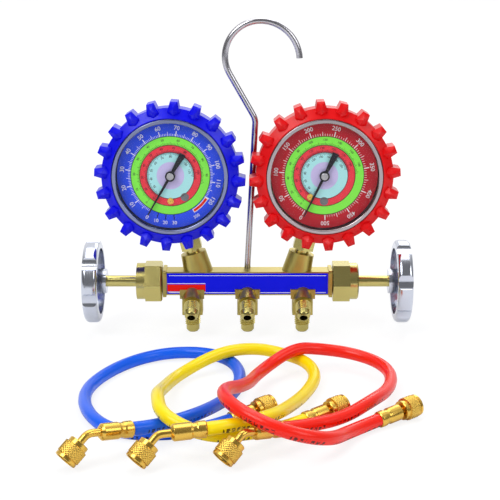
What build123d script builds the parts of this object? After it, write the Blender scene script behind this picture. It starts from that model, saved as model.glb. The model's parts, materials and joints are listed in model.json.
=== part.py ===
"""Two-valve refrigerant manifold gauge set with three charging hoses.

Millimetres, +Z up. The origin is on the floor, under the middle of the brass bar; +X runs along
the bar to the high-pressure side and -Y is the front, where the dials face. The manifold stands on
its three lower port ends and the hoses lie on the same floor in front of it.
"""

from build123d import *
import os
from math import acos, atan2, cos, degrees, hypot, pi, radians, sin, tan

# --- Brass bar and its ports ---------------------------------------------------------------
axis_height = 37.0  # bar centreline above the floor
bar_length = 120.0
bar_section = 17.0  # square bar, height and depth
bar_edge_chamfer = 1.3
end_flange_section = 19.6
end_flange_thickness = 2.4
port_spacing = 39.3
port_block_width = 14.6
port_block_depth = 14.8
port_block_fillet = 1.4
saddle_width = 17.2
saddle_rise = 4.6  # how far the saddle climbs the front of the bar
saddle_thickness = 1.4
front_port_angle = 32.0  # below the horizontal
front_boss_diameter = 13.6
front_boss_reach = 15.0  # from the bar axis plane to the boss face, along the port
front_port_rise = -4.9  # where the front port axis meets the bar's middle plane, from its axis

# --- 1/4 SAE flare fittings ----------------------------------------------------------------
flare_length = 13.7
flare_thread_diameter = 11.1
flare_neck_diameter = 9.4
flare_mouth_diameter = 6.9
flare_cone_length = 1.5
flare_neck_length = 4.6
flare_bore = 5.6
flare_shank_diameter = 9.8
flare_shank_length = 7.6

# --- Valves --------------------------------------------------------------------------------
chamber_diameter = 10.0
seat_position = 26.0  # from the middle of the bar
seat_bore = 5.0
bonnet_hex = 26.0
bonnet_hex_length = 12.0
bonnet_collar_diameter = 26.0
bonnet_collar_length = 6.0
bonnet_thread_diameter = 14.0
bonnet_thread_length = 10.0
bonnet_cavity_end = 7.2  # gland wall left at the outer end of the bonnet
gasket_thickness = 0.6
gasket_diameter = 16.4
stem_diameter = 8.0
stem_screw_diameter = 9.8
stem_screw_length = 8.0
stem_screw_start = 1.6  # inboard of the bar's end
stem_square = 6.0
valve_pitch = 1.75
valve_turns = 2.0
piston_disc_diameter = 8.8
piston_disc_thickness = 3.2
piston_rod_diameter = 5.0
piston_socket_depth = 4.2
seat_seal_diameter = 7.8
seat_seal_thickness = 2.2
gland_ring_section = 1.8

# --- Handwheels ----------------------------------------------------------------------------
wheel_diameter = 59.0
wheel_width = 10.6
wheel_lobes = 7
wheel_flute_diameter = 15.0
wheel_flute_depth = 2.3
wheel_rim_fillet = 3.0
wheel_hub_diameter = 17.6
wheel_hub_proud = 4.2
wheel_pocket_diameter = 47.0
wheel_web_thickness = 3.0
wheel_web_setback = 4.6  # inner rim edge to the web
wheel_position = 26.0  # inner rim edge, outboard of the bonnet's outer face
wheel_screw_head_diameter = 7.4
wheel_screw_head_height = 2.6
wheel_screw_diameter = 3.6
wheel_screw_length = 6.0
wheel_screw_slot = 1.0

# --- Gauges --------------------------------------------------------------------------------
gauge_spread = 53.0  # dial centre to the middle of the set
gauge_height = 115.7
gauge_lean = 14.2  # each gauge leans outward
case_diameter = 76.4
case_wall = 1.0
case_back = 9.0  # behind the gauge plane
case_front = 17.3
lens_thickness = 2.0
bezel_diameter = 79.8
bezel_lip = 2.9
bezel_lip_thickness = 1.2
bezel_back = 8.0
dial_diameter = 73.6
dial_thickness = 0.8
dial_front = 13.0
dial_bore = 4.0
pointer_tip = 31.8
pointer_tail = 17.6
pointer_thickness = 0.7
pointer_tip_width = 0.8
pointer_root_width = 2.0
pointer_tail_width = 4.6
pointer_hub_diameter = 7.0
pointer_hub_height = 2.4
pointer_bore_depth = 1.8
pointer_gap = 1.3  # dial face to the pointer
zero_angle = {"low": 239.8, "high": 244.0}
calibration_radius = 17.7
calibration_angle = {"low": 269.5, "high": 237.0}
calibration_head_diameter = 4.4
calibration_head_height = 0.9
calibration_shank_diameter = 1.8

# --- Rubber boots --------------------------------------------------------------------------
boot_diameter = 94.4
boot_mouth = 20.4
boot_ring_back = 0.6  # the grip ring ends in front of the hook rod
boot_skirt_diameter = 87.0
boot_back = 11.0
boot_back_wall = 1.8
boot_back_opening = 60.0
boot_rim_slope = 4.2
boot_stem_clearance = 1.4
knob_count = 20
knob_tip_diameter = 103.6
knob_root_diameter = 83.0
knob_width = 8.4
knob_tip_width = 5.2
knob_shoulder = 3.2
knob_front = 20.9
knob_back = 4.0
knob_bevel = 1.9

# --- Gauge movement ------------------------------------------------------------------------
gear_module = 0.4
pinion_teeth = 9
sector_ratio = 11
gear_thickness = 1.6
gear_backlash = 0.3  # share of the pitch left open
sector_sweep = 46.0  # toothed arc
sector_lead = 9.0  # part of the arc left of the mesh at zero pressure
sector_hub_diameter = 5.2
sector_tail = 5.0
arbor_diameter = 2.0
plate_thickness = 1.0
plate_width = 17.0
plate_length = 34.0
plate_drop = 10.5  # the plates' middle below the dial's
plate_rounding = 1.5
post_spread = 14.0
post_top = 4.5
post_bottom = -25.0
back_plate_front = 4.6
front_plate_back = 9.4
gear_plane = 6.2
post_diameter = 2.4
tube_radius = 27.0
tube_width = 7.0
tube_flat = 2.6
tube_depth = -2.5
tube_tip_angle = -8.0
tube_sweep = 274.0
tube_wall = 0.5
tip_block = 4.0
tip_block_sweep = 7.0  # degrees of arc that the tip block covers
tip_pin_diameter = 1.4
tip_pin_front = 9.0
link_width = 3.4
link_thickness = 0.7
link_back = 8.1
link_slot = 3.0  # lost motion at the tube's tip
link_slot_play = 0.5
socket_block_width = 15.0
socket_block_back = -8.0
socket_block_front = 3.6
socket_block_top = 20.5
socket_neck_diameter = 12.0
socket_hex = 14.3
socket_hex_start = 43.2
socket_hex_end = 56.4
socket_thread_diameter = 10.2
socket_thread_length = 10.0
socket_standoff = 2.7  # bare thread between the hex and the boss
boss_top_diameter = 18.0
boss_base_width = 20.8
boss_base_depth = 16.4
boss_sink = 0.05  # the base's higher edge below the bar's top
boss_passage = 4.0

# --- Hook ----------------------------------------------------------------------------------
hook_diameter = 4.5
hook_setback = 5.0  # behind the bar's middle plane
hook_seat = 7.0

# --- Label ---------------------------------------------------------------------------------
label_margin = 0.6  # bare bar between the label and an end flange
label_height = 15.0
label_thickness = 0.3

# --- Clearances ----------------------------------------------------------------------------
running = 0.05  # radial, shafts and spinning nuts
seated = 0.02  # radial, threads and pressed seats
seal_gap = 0.1
body_gap = 0.3

# --- Hoses and their ends ------------------------------------------------------------------
hose_diameter = 7.8
ferrule_diameter = 9.4
angled_ferrule_length = 19.5
straight_ferrule_length = 17.0
ferrule_waist = 8.4
tube_end_diameter = 4.4  # bent brass tube at the angled end
elbow_lead = 7.0  # ferrule to the corner of the bend
elbow_bend = 6.5
elbow_run = 10.0  # corner of the bend to the nut's seat
elbow_direction = (0.62, 0.47, 0.63)  # from the angled nut up to the bend
flange_diameter = 8.8
flange_thickness = 1.4
nipple_bore = 2.4
stub_seen = 1.0  # bare tube between the straight ferrule and its nut
nut_play = 0.2  # end float of a nut on its flange
nut_diameter = 13.4
nut_barrel_length = 7.6
nut_collar_diameter = 11.4
nut_collar_length = 2.6
nut_rim_diameter = 12.8
nut_rim_length = 2.0
nut_bore = 11.2
nut_bore_depth = 8.6
washer_thickness = 1.5
washer_diameter = 10.8
washer_bore = 5.2

# Each route runs from the angled end's ferrule to the straight end's ferrule, x, y, z.
hose_routes = {
    "blue": [
        (-62.3, -217.8, 14),
        (-49.1, -209.2, 12),
        (-26.2, -193.5, 12.7),
        (-15.8, -155.5, 4.3),
        (-6.1, -130.8, 3.9),
        (-3.5, -105.5, 4.2),
        (-9.7, -81.3, 4.8),
        (-27.1, -66.5, 6.5),
        (-50.6, -63.8, 6),
        (-72.3, -74.8, 4),
        (-86.2, -94.4, 4.1),
        (-98.6, -124.4, 4),
        (-98.1, -153.6, 4),
        (-86.7, -185.1, 5.5),
        (-71.2, -198.5, 3.8),
        (-46.3, -202.7, 4.7),
        (-22, -192.4, 3.8),
        (-9.5, -183, 5),
    ],
    "yellow": [
        (-21.4, -227.3, 18),
        (-6.9, -223.6, 18.3),
        (13.8, -207.9, 17.3),
        (23.5, -173.2, 8.9),
        (37.5, -143.2, 5.2),
        (44.5, -112.1, 5.6),
        (38.3, -93.1, 7.4),
        (23.1, -80.1, 9.4),
        (3.3, -76.9, 11.3),
        (-16.2, -84.8, 13.8),
        (-46.7, -105.8, 2),
        (-51.3, -154, 10.6),
        (-54.3, -185, 24.4),
        (-44.9, -210.3, 20.1),
        (-21.6, -222.3, 12.2),
        (4.8, -215.6, 9.3),
        (20.4, -192.4, 3.8),
        (32.9, -183, 5),
    ],
    "red": [
        (18.7, -215, 12.9),
        (32.2, -204.1, 9.8),
        (54.8, -190, 9.1),
        (71.7, -171.4, 11.8),
        (86, -143.4, 8.4),
        (91, -115.9, 8.8),
        (83.6, -97, 10.4),
        (67.4, -84.8, 12),
        (47.3, -83, 13.9),
        (29.6, -91.6, 17),
        (6.7, -111.9, 7.8),
        (-0.3, -157.4, 16.3),
        (-15.3, -193.7, 27.9),
        (-7.3, -222.4, 28.4),
        (17.5, -236.9, 20.9),
        (44.1, -227.7, 11.3),
        (58.3, -195.8, 3.4),
        (75.3, -183, 5),
    ],
}

# --- Worked out from the sizes above -------------------------------------------------------
sides = {"low": -1, "high": 1}
half_bar = bar_length / 2
bar_top = axis_height + bar_section / 2
bar_bottom = axis_height - bar_section / 2
bar_front = bar_section / 2
label_length = bar_length - 2 * (end_flange_thickness + label_margin)
lean = radians(gauge_lean)
boss_reach = socket_hex_end + socket_standoff  # gauge centre to the boss face
boss_rise = gauge_height - bar_top + boss_sink + boss_base_width / 2 * sin(lean)
boss_base_reach = boss_rise / cos(lean)
passage_reach = (gauge_height - axis_height) / cos(lean)
port_places = [(-port_spacing, 0), (0, 0), (port_spacing, 0)]
bonnet_start = half_bar + gasket_thickness
bonnet_face = bonnet_start + bonnet_hex_length + bonnet_collar_length
wheel_start = bonnet_face + wheel_position
wheel_end = wheel_start + wheel_width
hub_start = wheel_start - wheel_hub_proud
hub_end = wheel_start + wheel_web_setback + wheel_web_thickness
hub_wall = 2.0
stem_start = half_bar - stem_screw_start
stem_end = hub_end - hub_wall - 0.2
piston_start = seat_position + seal_gap + seat_seal_thickness
valve_axis = Axis((0, 0, axis_height), (1, 0, 0))
pitch_angle = 360 / (pinion_teeth * sector_ratio)
pinion_radius = gear_module * pinion_teeth / 2
sector_radius = pinion_radius * sector_ratio
sector_place = -(pinion_radius + sector_radius)  # sector pivot, up the gauge's own axis
hex_corner = socket_hex / 2 / cos(radians(30))

os.makedirs("parts", exist_ok=True)


def save(piece, name):
    """Label a finished piece and write it as its own STEP file."""
    piece.label = name
    export_step(piece, f"parts/{name}.step")


def outward(side, reach=0.0):
    """A plane across the valve axis, facing away from the middle of the bar."""
    return Plane(origin=(side * reach, 0, axis_height), x_dir=(0, 1, 0), z_dir=(side, 0, 0))


def front_port(x, reach=0.0):
    """A plane across one front port's axis, facing out of the port."""
    fall = radians(front_port_angle)
    out = Vector(0, -cos(fall), -sin(fall))
    return Plane(
        origin=Vector(x, 0, axis_height + front_port_rise) + out * reach,
        x_dir=(1, 0, 0),
        z_dir=out,
    )


def lean_of(side):
    """How far a gauge's own axes are turned in the plane of its dial, in radians."""
    return radians(-side * gauge_lean)


def gauge_face(side, front=0.0, upright=False):
    """A plane parallel to the dial, facing the front, `front` ahead of the gauge plane."""
    turn = 0 if upright else lean_of(side)
    return Plane(
        origin=(side * gauge_spread, -front, gauge_height),
        x_dir=(cos(turn), 0, sin(turn)),
        z_dir=(0, -1, 0),
    )


def gauge_section(side, angle=0.0):
    """A plane through the dial axis: local x is radial, local y points to the front."""
    turn = lean_of(side) + radians(angle)
    radial = Vector(cos(turn), 0, sin(turn))
    return Plane(
        origin=(side * gauge_spread, 0, gauge_height),
        x_dir=radial,
        z_dir=radial.cross(Vector(0, -1, 0)),
    )


def dial_axis(side):
    """The axis that the pointer turns on, towards the front."""
    return Axis((side * gauge_spread, 0, gauge_height), (0, -1, 0))


def stem_plane(side, reach):
    """A plane across a gauge's stem, `reach` below the dial centre, facing the bar."""
    turn = lean_of(side)
    down = Vector(sin(turn), 0, -cos(turn))
    return Plane(
        origin=Vector(side * gauge_spread, 0, gauge_height) + down * reach,
        x_dir=(cos(turn), 0, sin(turn)),
        z_dir=down,
    )


# --- Manifold body: bar, port blocks, gauge bosses and all their drillings -----------------
with BuildPart() as manifold_body:
    with BuildSketch(outward(1)):
        Rectangle(bar_section, bar_section)
    extrude(amount=half_bar, both=True)
    chamfer(manifold_body.edges().filter_by(Axis.X), bar_edge_chamfer)
    for side in sides.values():
        with BuildSketch(outward(side, half_bar - end_flange_thickness)):
            RectangleRounded(end_flange_section, end_flange_section, 2.0)
        extrude(amount=end_flange_thickness)
        with BuildSketch(stem_plane(side, boss_reach)):
            Circle(boss_top_diameter / 2)
        with BuildSketch(stem_plane(side, boss_base_reach)):
            RectangleRounded(boss_base_width, boss_base_depth, boss_base_depth / 2 - 0.4)
        loft()
    with BuildSketch(Plane.XY.offset(flare_length)):
        with Locations(*port_places):
            RectangleRounded(port_block_width, port_block_depth, port_block_fillet)
    extrude(amount=bar_bottom + 1 - flare_length)
    with BuildSketch(Plane.XZ.offset(bar_front - 0.5)):
        with Locations(*[(x, bar_bottom + saddle_rise / 2 - 1) for x, _ in port_places]):
            Rectangle(saddle_width, saddle_rise + 2)
    extrude(amount=saddle_thickness + 0.5)
    for x, _ in port_places:
        with BuildSketch(front_port(x, front_boss_reach)):
            Circle(front_boss_diameter / 2)
        extrude(amount=-(front_boss_reach - 4))

    # Passages: middle bore, stem chambers, bonnet threads
    with BuildSketch(outward(1)):
        Circle(seat_bore / 2)
    extrude(amount=seat_position + 1, both=True, mode=Mode.SUBTRACT)
    for side in sides.values():
        with BuildSketch(outward(side, seat_position)):
            Circle(chamber_diameter / 2)
        extrude(amount=half_bar - seat_position, mode=Mode.SUBTRACT)
        with BuildSketch(outward(side, half_bar - bonnet_thread_length)):
            Circle(bonnet_thread_diameter / 2)
        extrude(amount=bonnet_thread_length, mode=Mode.SUBTRACT)
        with BuildSketch(stem_plane(side, boss_reach)):
            Circle(socket_thread_diameter / 2 + seated)
        extrude(amount=socket_hex_end + socket_thread_length - boss_reach + 0.6, mode=Mode.SUBTRACT)
        with BuildSketch(stem_plane(side, boss_reach)):
            Circle(boss_passage / 2)
        extrude(amount=passage_reach - boss_reach, mode=Mode.SUBTRACT)
    # Flare fittings' seats and drillings
    with BuildSketch(Plane.XY.offset(flare_length)):
        with Locations(*port_places):
            Circle(flare_shank_diameter / 2 + seated)
    extrude(amount=flare_shank_length + 0.4, mode=Mode.SUBTRACT)
    with BuildSketch(Plane.XY.offset(flare_length)):
        with Locations(*port_places):
            Circle(flare_bore / 2)
    extrude(amount=axis_height - flare_length, mode=Mode.SUBTRACT)
    for x, _ in port_places:
        with BuildSketch(front_port(x, front_boss_reach)):
            Circle(flare_shank_diameter / 2 + seated)
        extrude(amount=-(flare_shank_length + 0.4), mode=Mode.SUBTRACT)
        with BuildSketch(front_port(x, front_boss_reach)):
            Circle(flare_bore / 2)
        extrude(amount=-(front_boss_reach + 3), mode=Mode.SUBTRACT)
    # Hook seat
    with BuildSketch(Plane.XY.offset(bar_top)):
        with Locations((0, hook_setback)):
            Circle(hook_diameter / 2 + running)
    extrude(amount=-hook_seat, mode=Mode.SUBTRACT)
save(manifold_body.part, "manifold_body")


# Half section of a flare fitting: its mouth at the origin, its axis along local y
with BuildSketch() as flare_profile:
    with BuildLine():
        Polyline(
            (flare_bore / 2, 0),
            (flare_mouth_diameter / 2, 0),
            (flare_neck_diameter / 2, flare_cone_length),
            (flare_neck_diameter / 2, flare_neck_length),
            (flare_thread_diameter / 2, flare_neck_length + 0.85),
            (flare_thread_diameter / 2, flare_length),
            (flare_shank_diameter / 2, flare_length),
            (flare_shank_diameter / 2, flare_length + flare_shank_length),
            (flare_bore / 2, flare_length + flare_shank_length),
            close=True,
        )
    make_face()

with BuildPart() as lower_flares:
    for x, _ in port_places:
        with BuildSketch(Plane(origin=(x, 0, 0), x_dir=(1, 0, 0), z_dir=(0, -1, 0))):
            add(flare_profile.sketch)
        revolve(axis=Axis((x, 0, 0), (0, 0, 1)))
save(lower_flares.part, "lower_flare_fittings")

with BuildPart() as front_flares:
    for x, _ in port_places:
        mouth = front_port(x, front_boss_reach + flare_length)
        back = mouth.z_dir * -1
        across = Vector(1, 0, 0).cross(back)
        with BuildSketch(Plane(origin=mouth.origin, x_dir=(1, 0, 0), z_dir=across)):
            add(flare_profile.sketch)
        revolve(axis=Axis(mouth.origin, back))
save(front_flares.part, "front_flare_fittings")

with BuildPart() as label:
    with BuildSketch(Plane.XZ.offset(bar_front)):
        with Locations((0, axis_height + 0.4)):
            Rectangle(label_length, label_height)
        with Locations(*[(x, bar_bottom) for x, _ in port_places]):
            Rectangle(
                saddle_width + 2 * body_gap, 2 * (saddle_rise + body_gap), mode=Mode.SUBTRACT
            )
    extrude(amount=label_thickness)
    for x, _ in port_places:
        with BuildSketch(front_port(x, front_boss_reach)):
            Circle(front_boss_diameter / 2 + body_gap)
        extrude(amount=-front_boss_reach, mode=Mode.SUBTRACT)
save(label.part, "front_label")

# --- Hook: a bent rod that swivels in the top of the bar -----------------------------------
crook_centre = (8.8, 195.5)
crook_radius = 24.2
crook_tip_radius = 27.2
crook_start_angle = 210.0
crook_tip_angle = 4.0
hook_bend = (5.6, 152.4)
hook_bend_radius = 12.0


def on_circle(centre, radius, angle):
    """A point of a circle, by its angle in degrees."""
    turn = radians(angle)
    return (centre[0] + radius * cos(turn), centre[1] + radius * sin(turn))


crook_start = on_circle(crook_centre, crook_radius, crook_start_angle)
crook_top = on_circle(crook_centre, crook_radius, 90)
crook_tip_centre = (crook_centre[0], crook_top[1] - crook_tip_radius)
with BuildPart() as hook:
    with BuildLine(Plane.XZ.offset(-hook_setback)):
        FilletPolyline(
            (0, bar_top - hook_seat + running),
            (0, bar_top + 2),
            hook_bend,
            crook_start,
            radius=hook_bend_radius,
        )
        ThreePointArc(crook_start, on_circle(crook_centre, crook_radius, 150), crook_top)
        ThreePointArc(
            crook_top,
            on_circle(crook_tip_centre, crook_tip_radius, 50),
            on_circle(crook_tip_centre, crook_tip_radius, crook_tip_angle),
        )
    with BuildSketch(Plane.XY.offset(bar_top - hook_seat + running)):
        with Locations((0, hook_setback)):
            Circle(hook_diameter / 2)
    sweep()
save(hook.part, "hanging_hook")


# --- Valves: bonnet, stem, piston, seal, handwheel and its screw ---------------------------
groove_middle = bonnet_face - bonnet_collar_length / 2 - 0.6


def valve_section(side):
    """A plane through the valve axis: local x is radial, local y runs outward."""
    return Plane(origin=(0, 0, axis_height), x_dir=(0, 0, 1), z_dir=(0, side, 0))


for name, side in sides.items():
    with BuildPart() as bonnet:
        with BuildSketch(outward(side, bonnet_start)):
            RegularPolygon(bonnet_hex / 2, 6, major_radius=False, rotation=0)
        extrude(amount=bonnet_hex_length)
        with BuildSketch(outward(side, bonnet_start + bonnet_hex_length)):
            Circle(bonnet_collar_diameter / 2)
        extrude(amount=bonnet_collar_length)
        chamfer(bonnet.faces().filter_by(Axis.X).sort_by(Axis.X)[side if side < 0 else -1].edges(), 0.9)
        with BuildSketch(outward(side, half_bar - bonnet_thread_length)):
            Circle(bonnet_thread_diameter / 2 - seated)
        extrude(amount=bonnet_thread_length + gasket_thickness)
        with BuildSketch(valve_section(side)):
            with BuildLine():
                Polyline(
                    (0, half_bar - bonnet_thread_length),
                    (chamber_diameter / 2, half_bar - bonnet_thread_length),
                    (chamber_diameter / 2, bonnet_face - bonnet_cavity_end),
                    (stem_diameter / 2 + running, bonnet_face - bonnet_cavity_end),
                    (stem_diameter / 2 + running, groove_middle - 1.2),
                    (stem_diameter / 2 + 1.9, groove_middle - 1.2),
                    (stem_diameter / 2 + 1.9, groove_middle + 1.2),
                    (stem_diameter / 2 + running, groove_middle + 1.2),
                    (stem_diameter / 2 + running, bonnet_face),
                    (0, bonnet_face),
                    close=True,
                )
            make_face()
        revolve(axis=valve_axis, mode=Mode.SUBTRACT)
    save(bonnet.part, f"{name}_bonnet")

    with BuildPart() as stem:
        with BuildSketch(outward(side, stem_start)):
            Circle(stem_screw_diameter / 2)
        extrude(amount=stem_screw_length)
        with BuildSketch(outward(side, stem_start)):
            Circle(stem_diameter / 2)
        extrude(amount=hub_start - stem_start)
        with BuildSketch(outward(side, hub_start)):
            RectangleRounded(stem_square, stem_square, 0.5)
        extrude(amount=stem_end - hub_start)
        with BuildSketch(outward(side, stem_start)):
            Circle(piston_rod_diameter / 2 + running)
        extrude(amount=piston_socket_depth, mode=Mode.SUBTRACT)
        with BuildSketch(outward(side, stem_end)):
            Circle(wheel_screw_diameter / 2 + seated)
        extrude(amount=-(wheel_screw_length - 1), mode=Mode.SUBTRACT)
    save(stem.part, f"{name}_stem")

    with BuildPart() as piston:
        with BuildSketch(outward(side, piston_start)):
            Circle(piston_disc_diameter / 2)
        extrude(amount=piston_disc_thickness)
        with BuildSketch(outward(side, piston_start)):
            Circle(piston_rod_diameter / 2)
        extrude(amount=stem_start + piston_socket_depth - 0.4 - piston_start)
    save(piston.part, f"{name}_piston")

    with BuildPart() as seat_seal:
        with BuildSketch(outward(side, seat_position + seal_gap)):
            Circle(seat_seal_diameter / 2)
        extrude(amount=seat_seal_thickness)
    save(seat_seal.part, f"{name}_seat_seal")

    with BuildPart() as wheel:
        with BuildSketch(outward(side, wheel_start)):
            Circle(wheel_diameter / 2)
        extrude(amount=wheel_width)
        fillet(wheel.edges(), wheel_rim_fillet)
        with BuildSketch(outward(side, wheel_start)):
            Circle(wheel_pocket_diameter / 2)
        extrude(amount=wheel_web_setback, mode=Mode.SUBTRACT)
        with BuildSketch(outward(side, hub_end)):
            Circle(wheel_pocket_diameter / 2)
        extrude(amount=wheel_end - hub_end, mode=Mode.SUBTRACT)
        with BuildSketch(outward(side, wheel_start)):
            reach = (wheel_diameter + wheel_flute_diameter) / 2 - wheel_flute_depth
            with PolarLocations(reach, wheel_lobes, start_angle=90 + 180 / wheel_lobes):
                Circle(wheel_flute_diameter / 2)
        extrude(amount=wheel_width, mode=Mode.SUBTRACT)
        with BuildSketch(outward(side, hub_start)):
            Circle(wheel_hub_diameter / 2)
        extrude(amount=hub_end - hub_start)
        with BuildSketch(outward(side, hub_start)):
            RectangleRounded(stem_square + 2 * seated, stem_square + 2 * seated, 0.5)
        extrude(amount=hub_end - hub_wall - hub_start, mode=Mode.SUBTRACT)
        with BuildSketch(outward(side, hub_start)):
            Circle(wheel_screw_diameter / 2 + running)
        extrude(amount=hub_end - hub_start, mode=Mode.SUBTRACT)
    save(wheel.part, f"{name}_handwheel")

    with BuildPart() as wheel_screw:
        with BuildSketch(outward(side, hub_end)):
            Circle(wheel_screw_head_diameter / 2)
        extrude(amount=wheel_screw_head_height)
        with BuildSketch(outward(side, hub_end + wheel_screw_head_height)):
            Rectangle(wheel_screw_head_diameter, wheel_screw_slot)
        extrude(amount=-1, mode=Mode.SUBTRACT)
        with BuildSketch(outward(side, hub_end)):
            Circle(wheel_screw_diameter / 2)
        extrude(amount=-wheel_screw_length)
    save(wheel_screw.part, f"{name}_wheel_screw")

with BuildPart() as valve_seals:
    for side in sides.values():
        with BuildSketch(valve_section(side)):
            with Locations((stem_diameter / 2 + 0.04 + gland_ring_section / 2, groove_middle)):
                Circle(gland_ring_section / 2)
        revolve(axis=valve_axis)
        with BuildSketch(outward(side, half_bar)):
            Circle(gasket_diameter / 2)
            Circle(bonnet_thread_diameter / 2 + running, mode=Mode.SUBTRACT)
        extrude(amount=gasket_thickness)
save(valve_seals.part, "valve_seals")

# --- Gauges --------------------------------------------------------------------------------
lens_back = case_front + running
bezel_front = lens_back + lens_thickness + running + bezel_lip_thickness
dial_back = dial_front - dial_thickness
pointer_back = dial_front + pointer_gap
case_inside = case_diameter / 2 - case_wall
block_reach = ((case_inside - body_gap) ** 2 - (socket_block_width / 2) ** 2) ** 0.5
plate_posts = [
    (-post_spread / 2, post_top),
    (post_spread / 2, post_top),
    (-post_spread / 2, post_bottom),
]
tube_tip = on_circle((0, 0), tube_radius, tube_tip_angle - tip_block_sweep / 2)
pivot = (0, sector_place)
to_tip = hypot(tube_tip[0], tube_tip[1] - sector_place)
link_length = (to_tip**2 - sector_tail**2) ** 0.5
tail_middle = degrees(atan2(tube_tip[1] - sector_place, tube_tip[0]) - acos(sector_tail / to_tip))
tail_rest = tail_middle - 13.45  # zero pressure; the middle of the travel squares the link
link_angle = tail_middle + 90
tail_pin = on_circle(pivot, sector_tail, tail_rest)


def tooth(radius, middle):
    """Corners of one gear tooth, counter-clockwise, about the origin; angles in degrees."""
    pitch = pi * gear_module
    width = pitch * (1 - gear_backlash) / 2
    corners = []
    for depth, share in ((-0.55, 1.22), (0.0, 1.0), (0.32, 0.5)):
        reach = radius + depth
        corners.append((reach, degrees(width * share / 2 / reach)))
    right = [on_circle((0, 0), reach, middle - half) for reach, half in corners]
    left = [on_circle((0, 0), reach, middle + half) for reach, half in reversed(corners)]
    return right + left


# One grip knob of the boots: a pentagon that points at the dial, with bevelled front edges
with BuildPart() as knob:
    tip, root = knob_tip_diameter / 2, knob_root_diameter / 2
    with BuildSketch(Plane.XY.offset(knob_back)):
        with BuildLine():
            Polyline(
                (root, 0),
                (root + knob_shoulder, -knob_width / 2),
                (tip, -knob_tip_width / 2),
                (tip, knob_tip_width / 2),
                (root + knob_shoulder, knob_width / 2),
                close=True,
            )
        make_face()
    extrude(amount=knob_front - knob_back)
    chamfer(knob.faces().sort_by(Axis.Z)[-1].edges(), knob_bevel)


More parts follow.
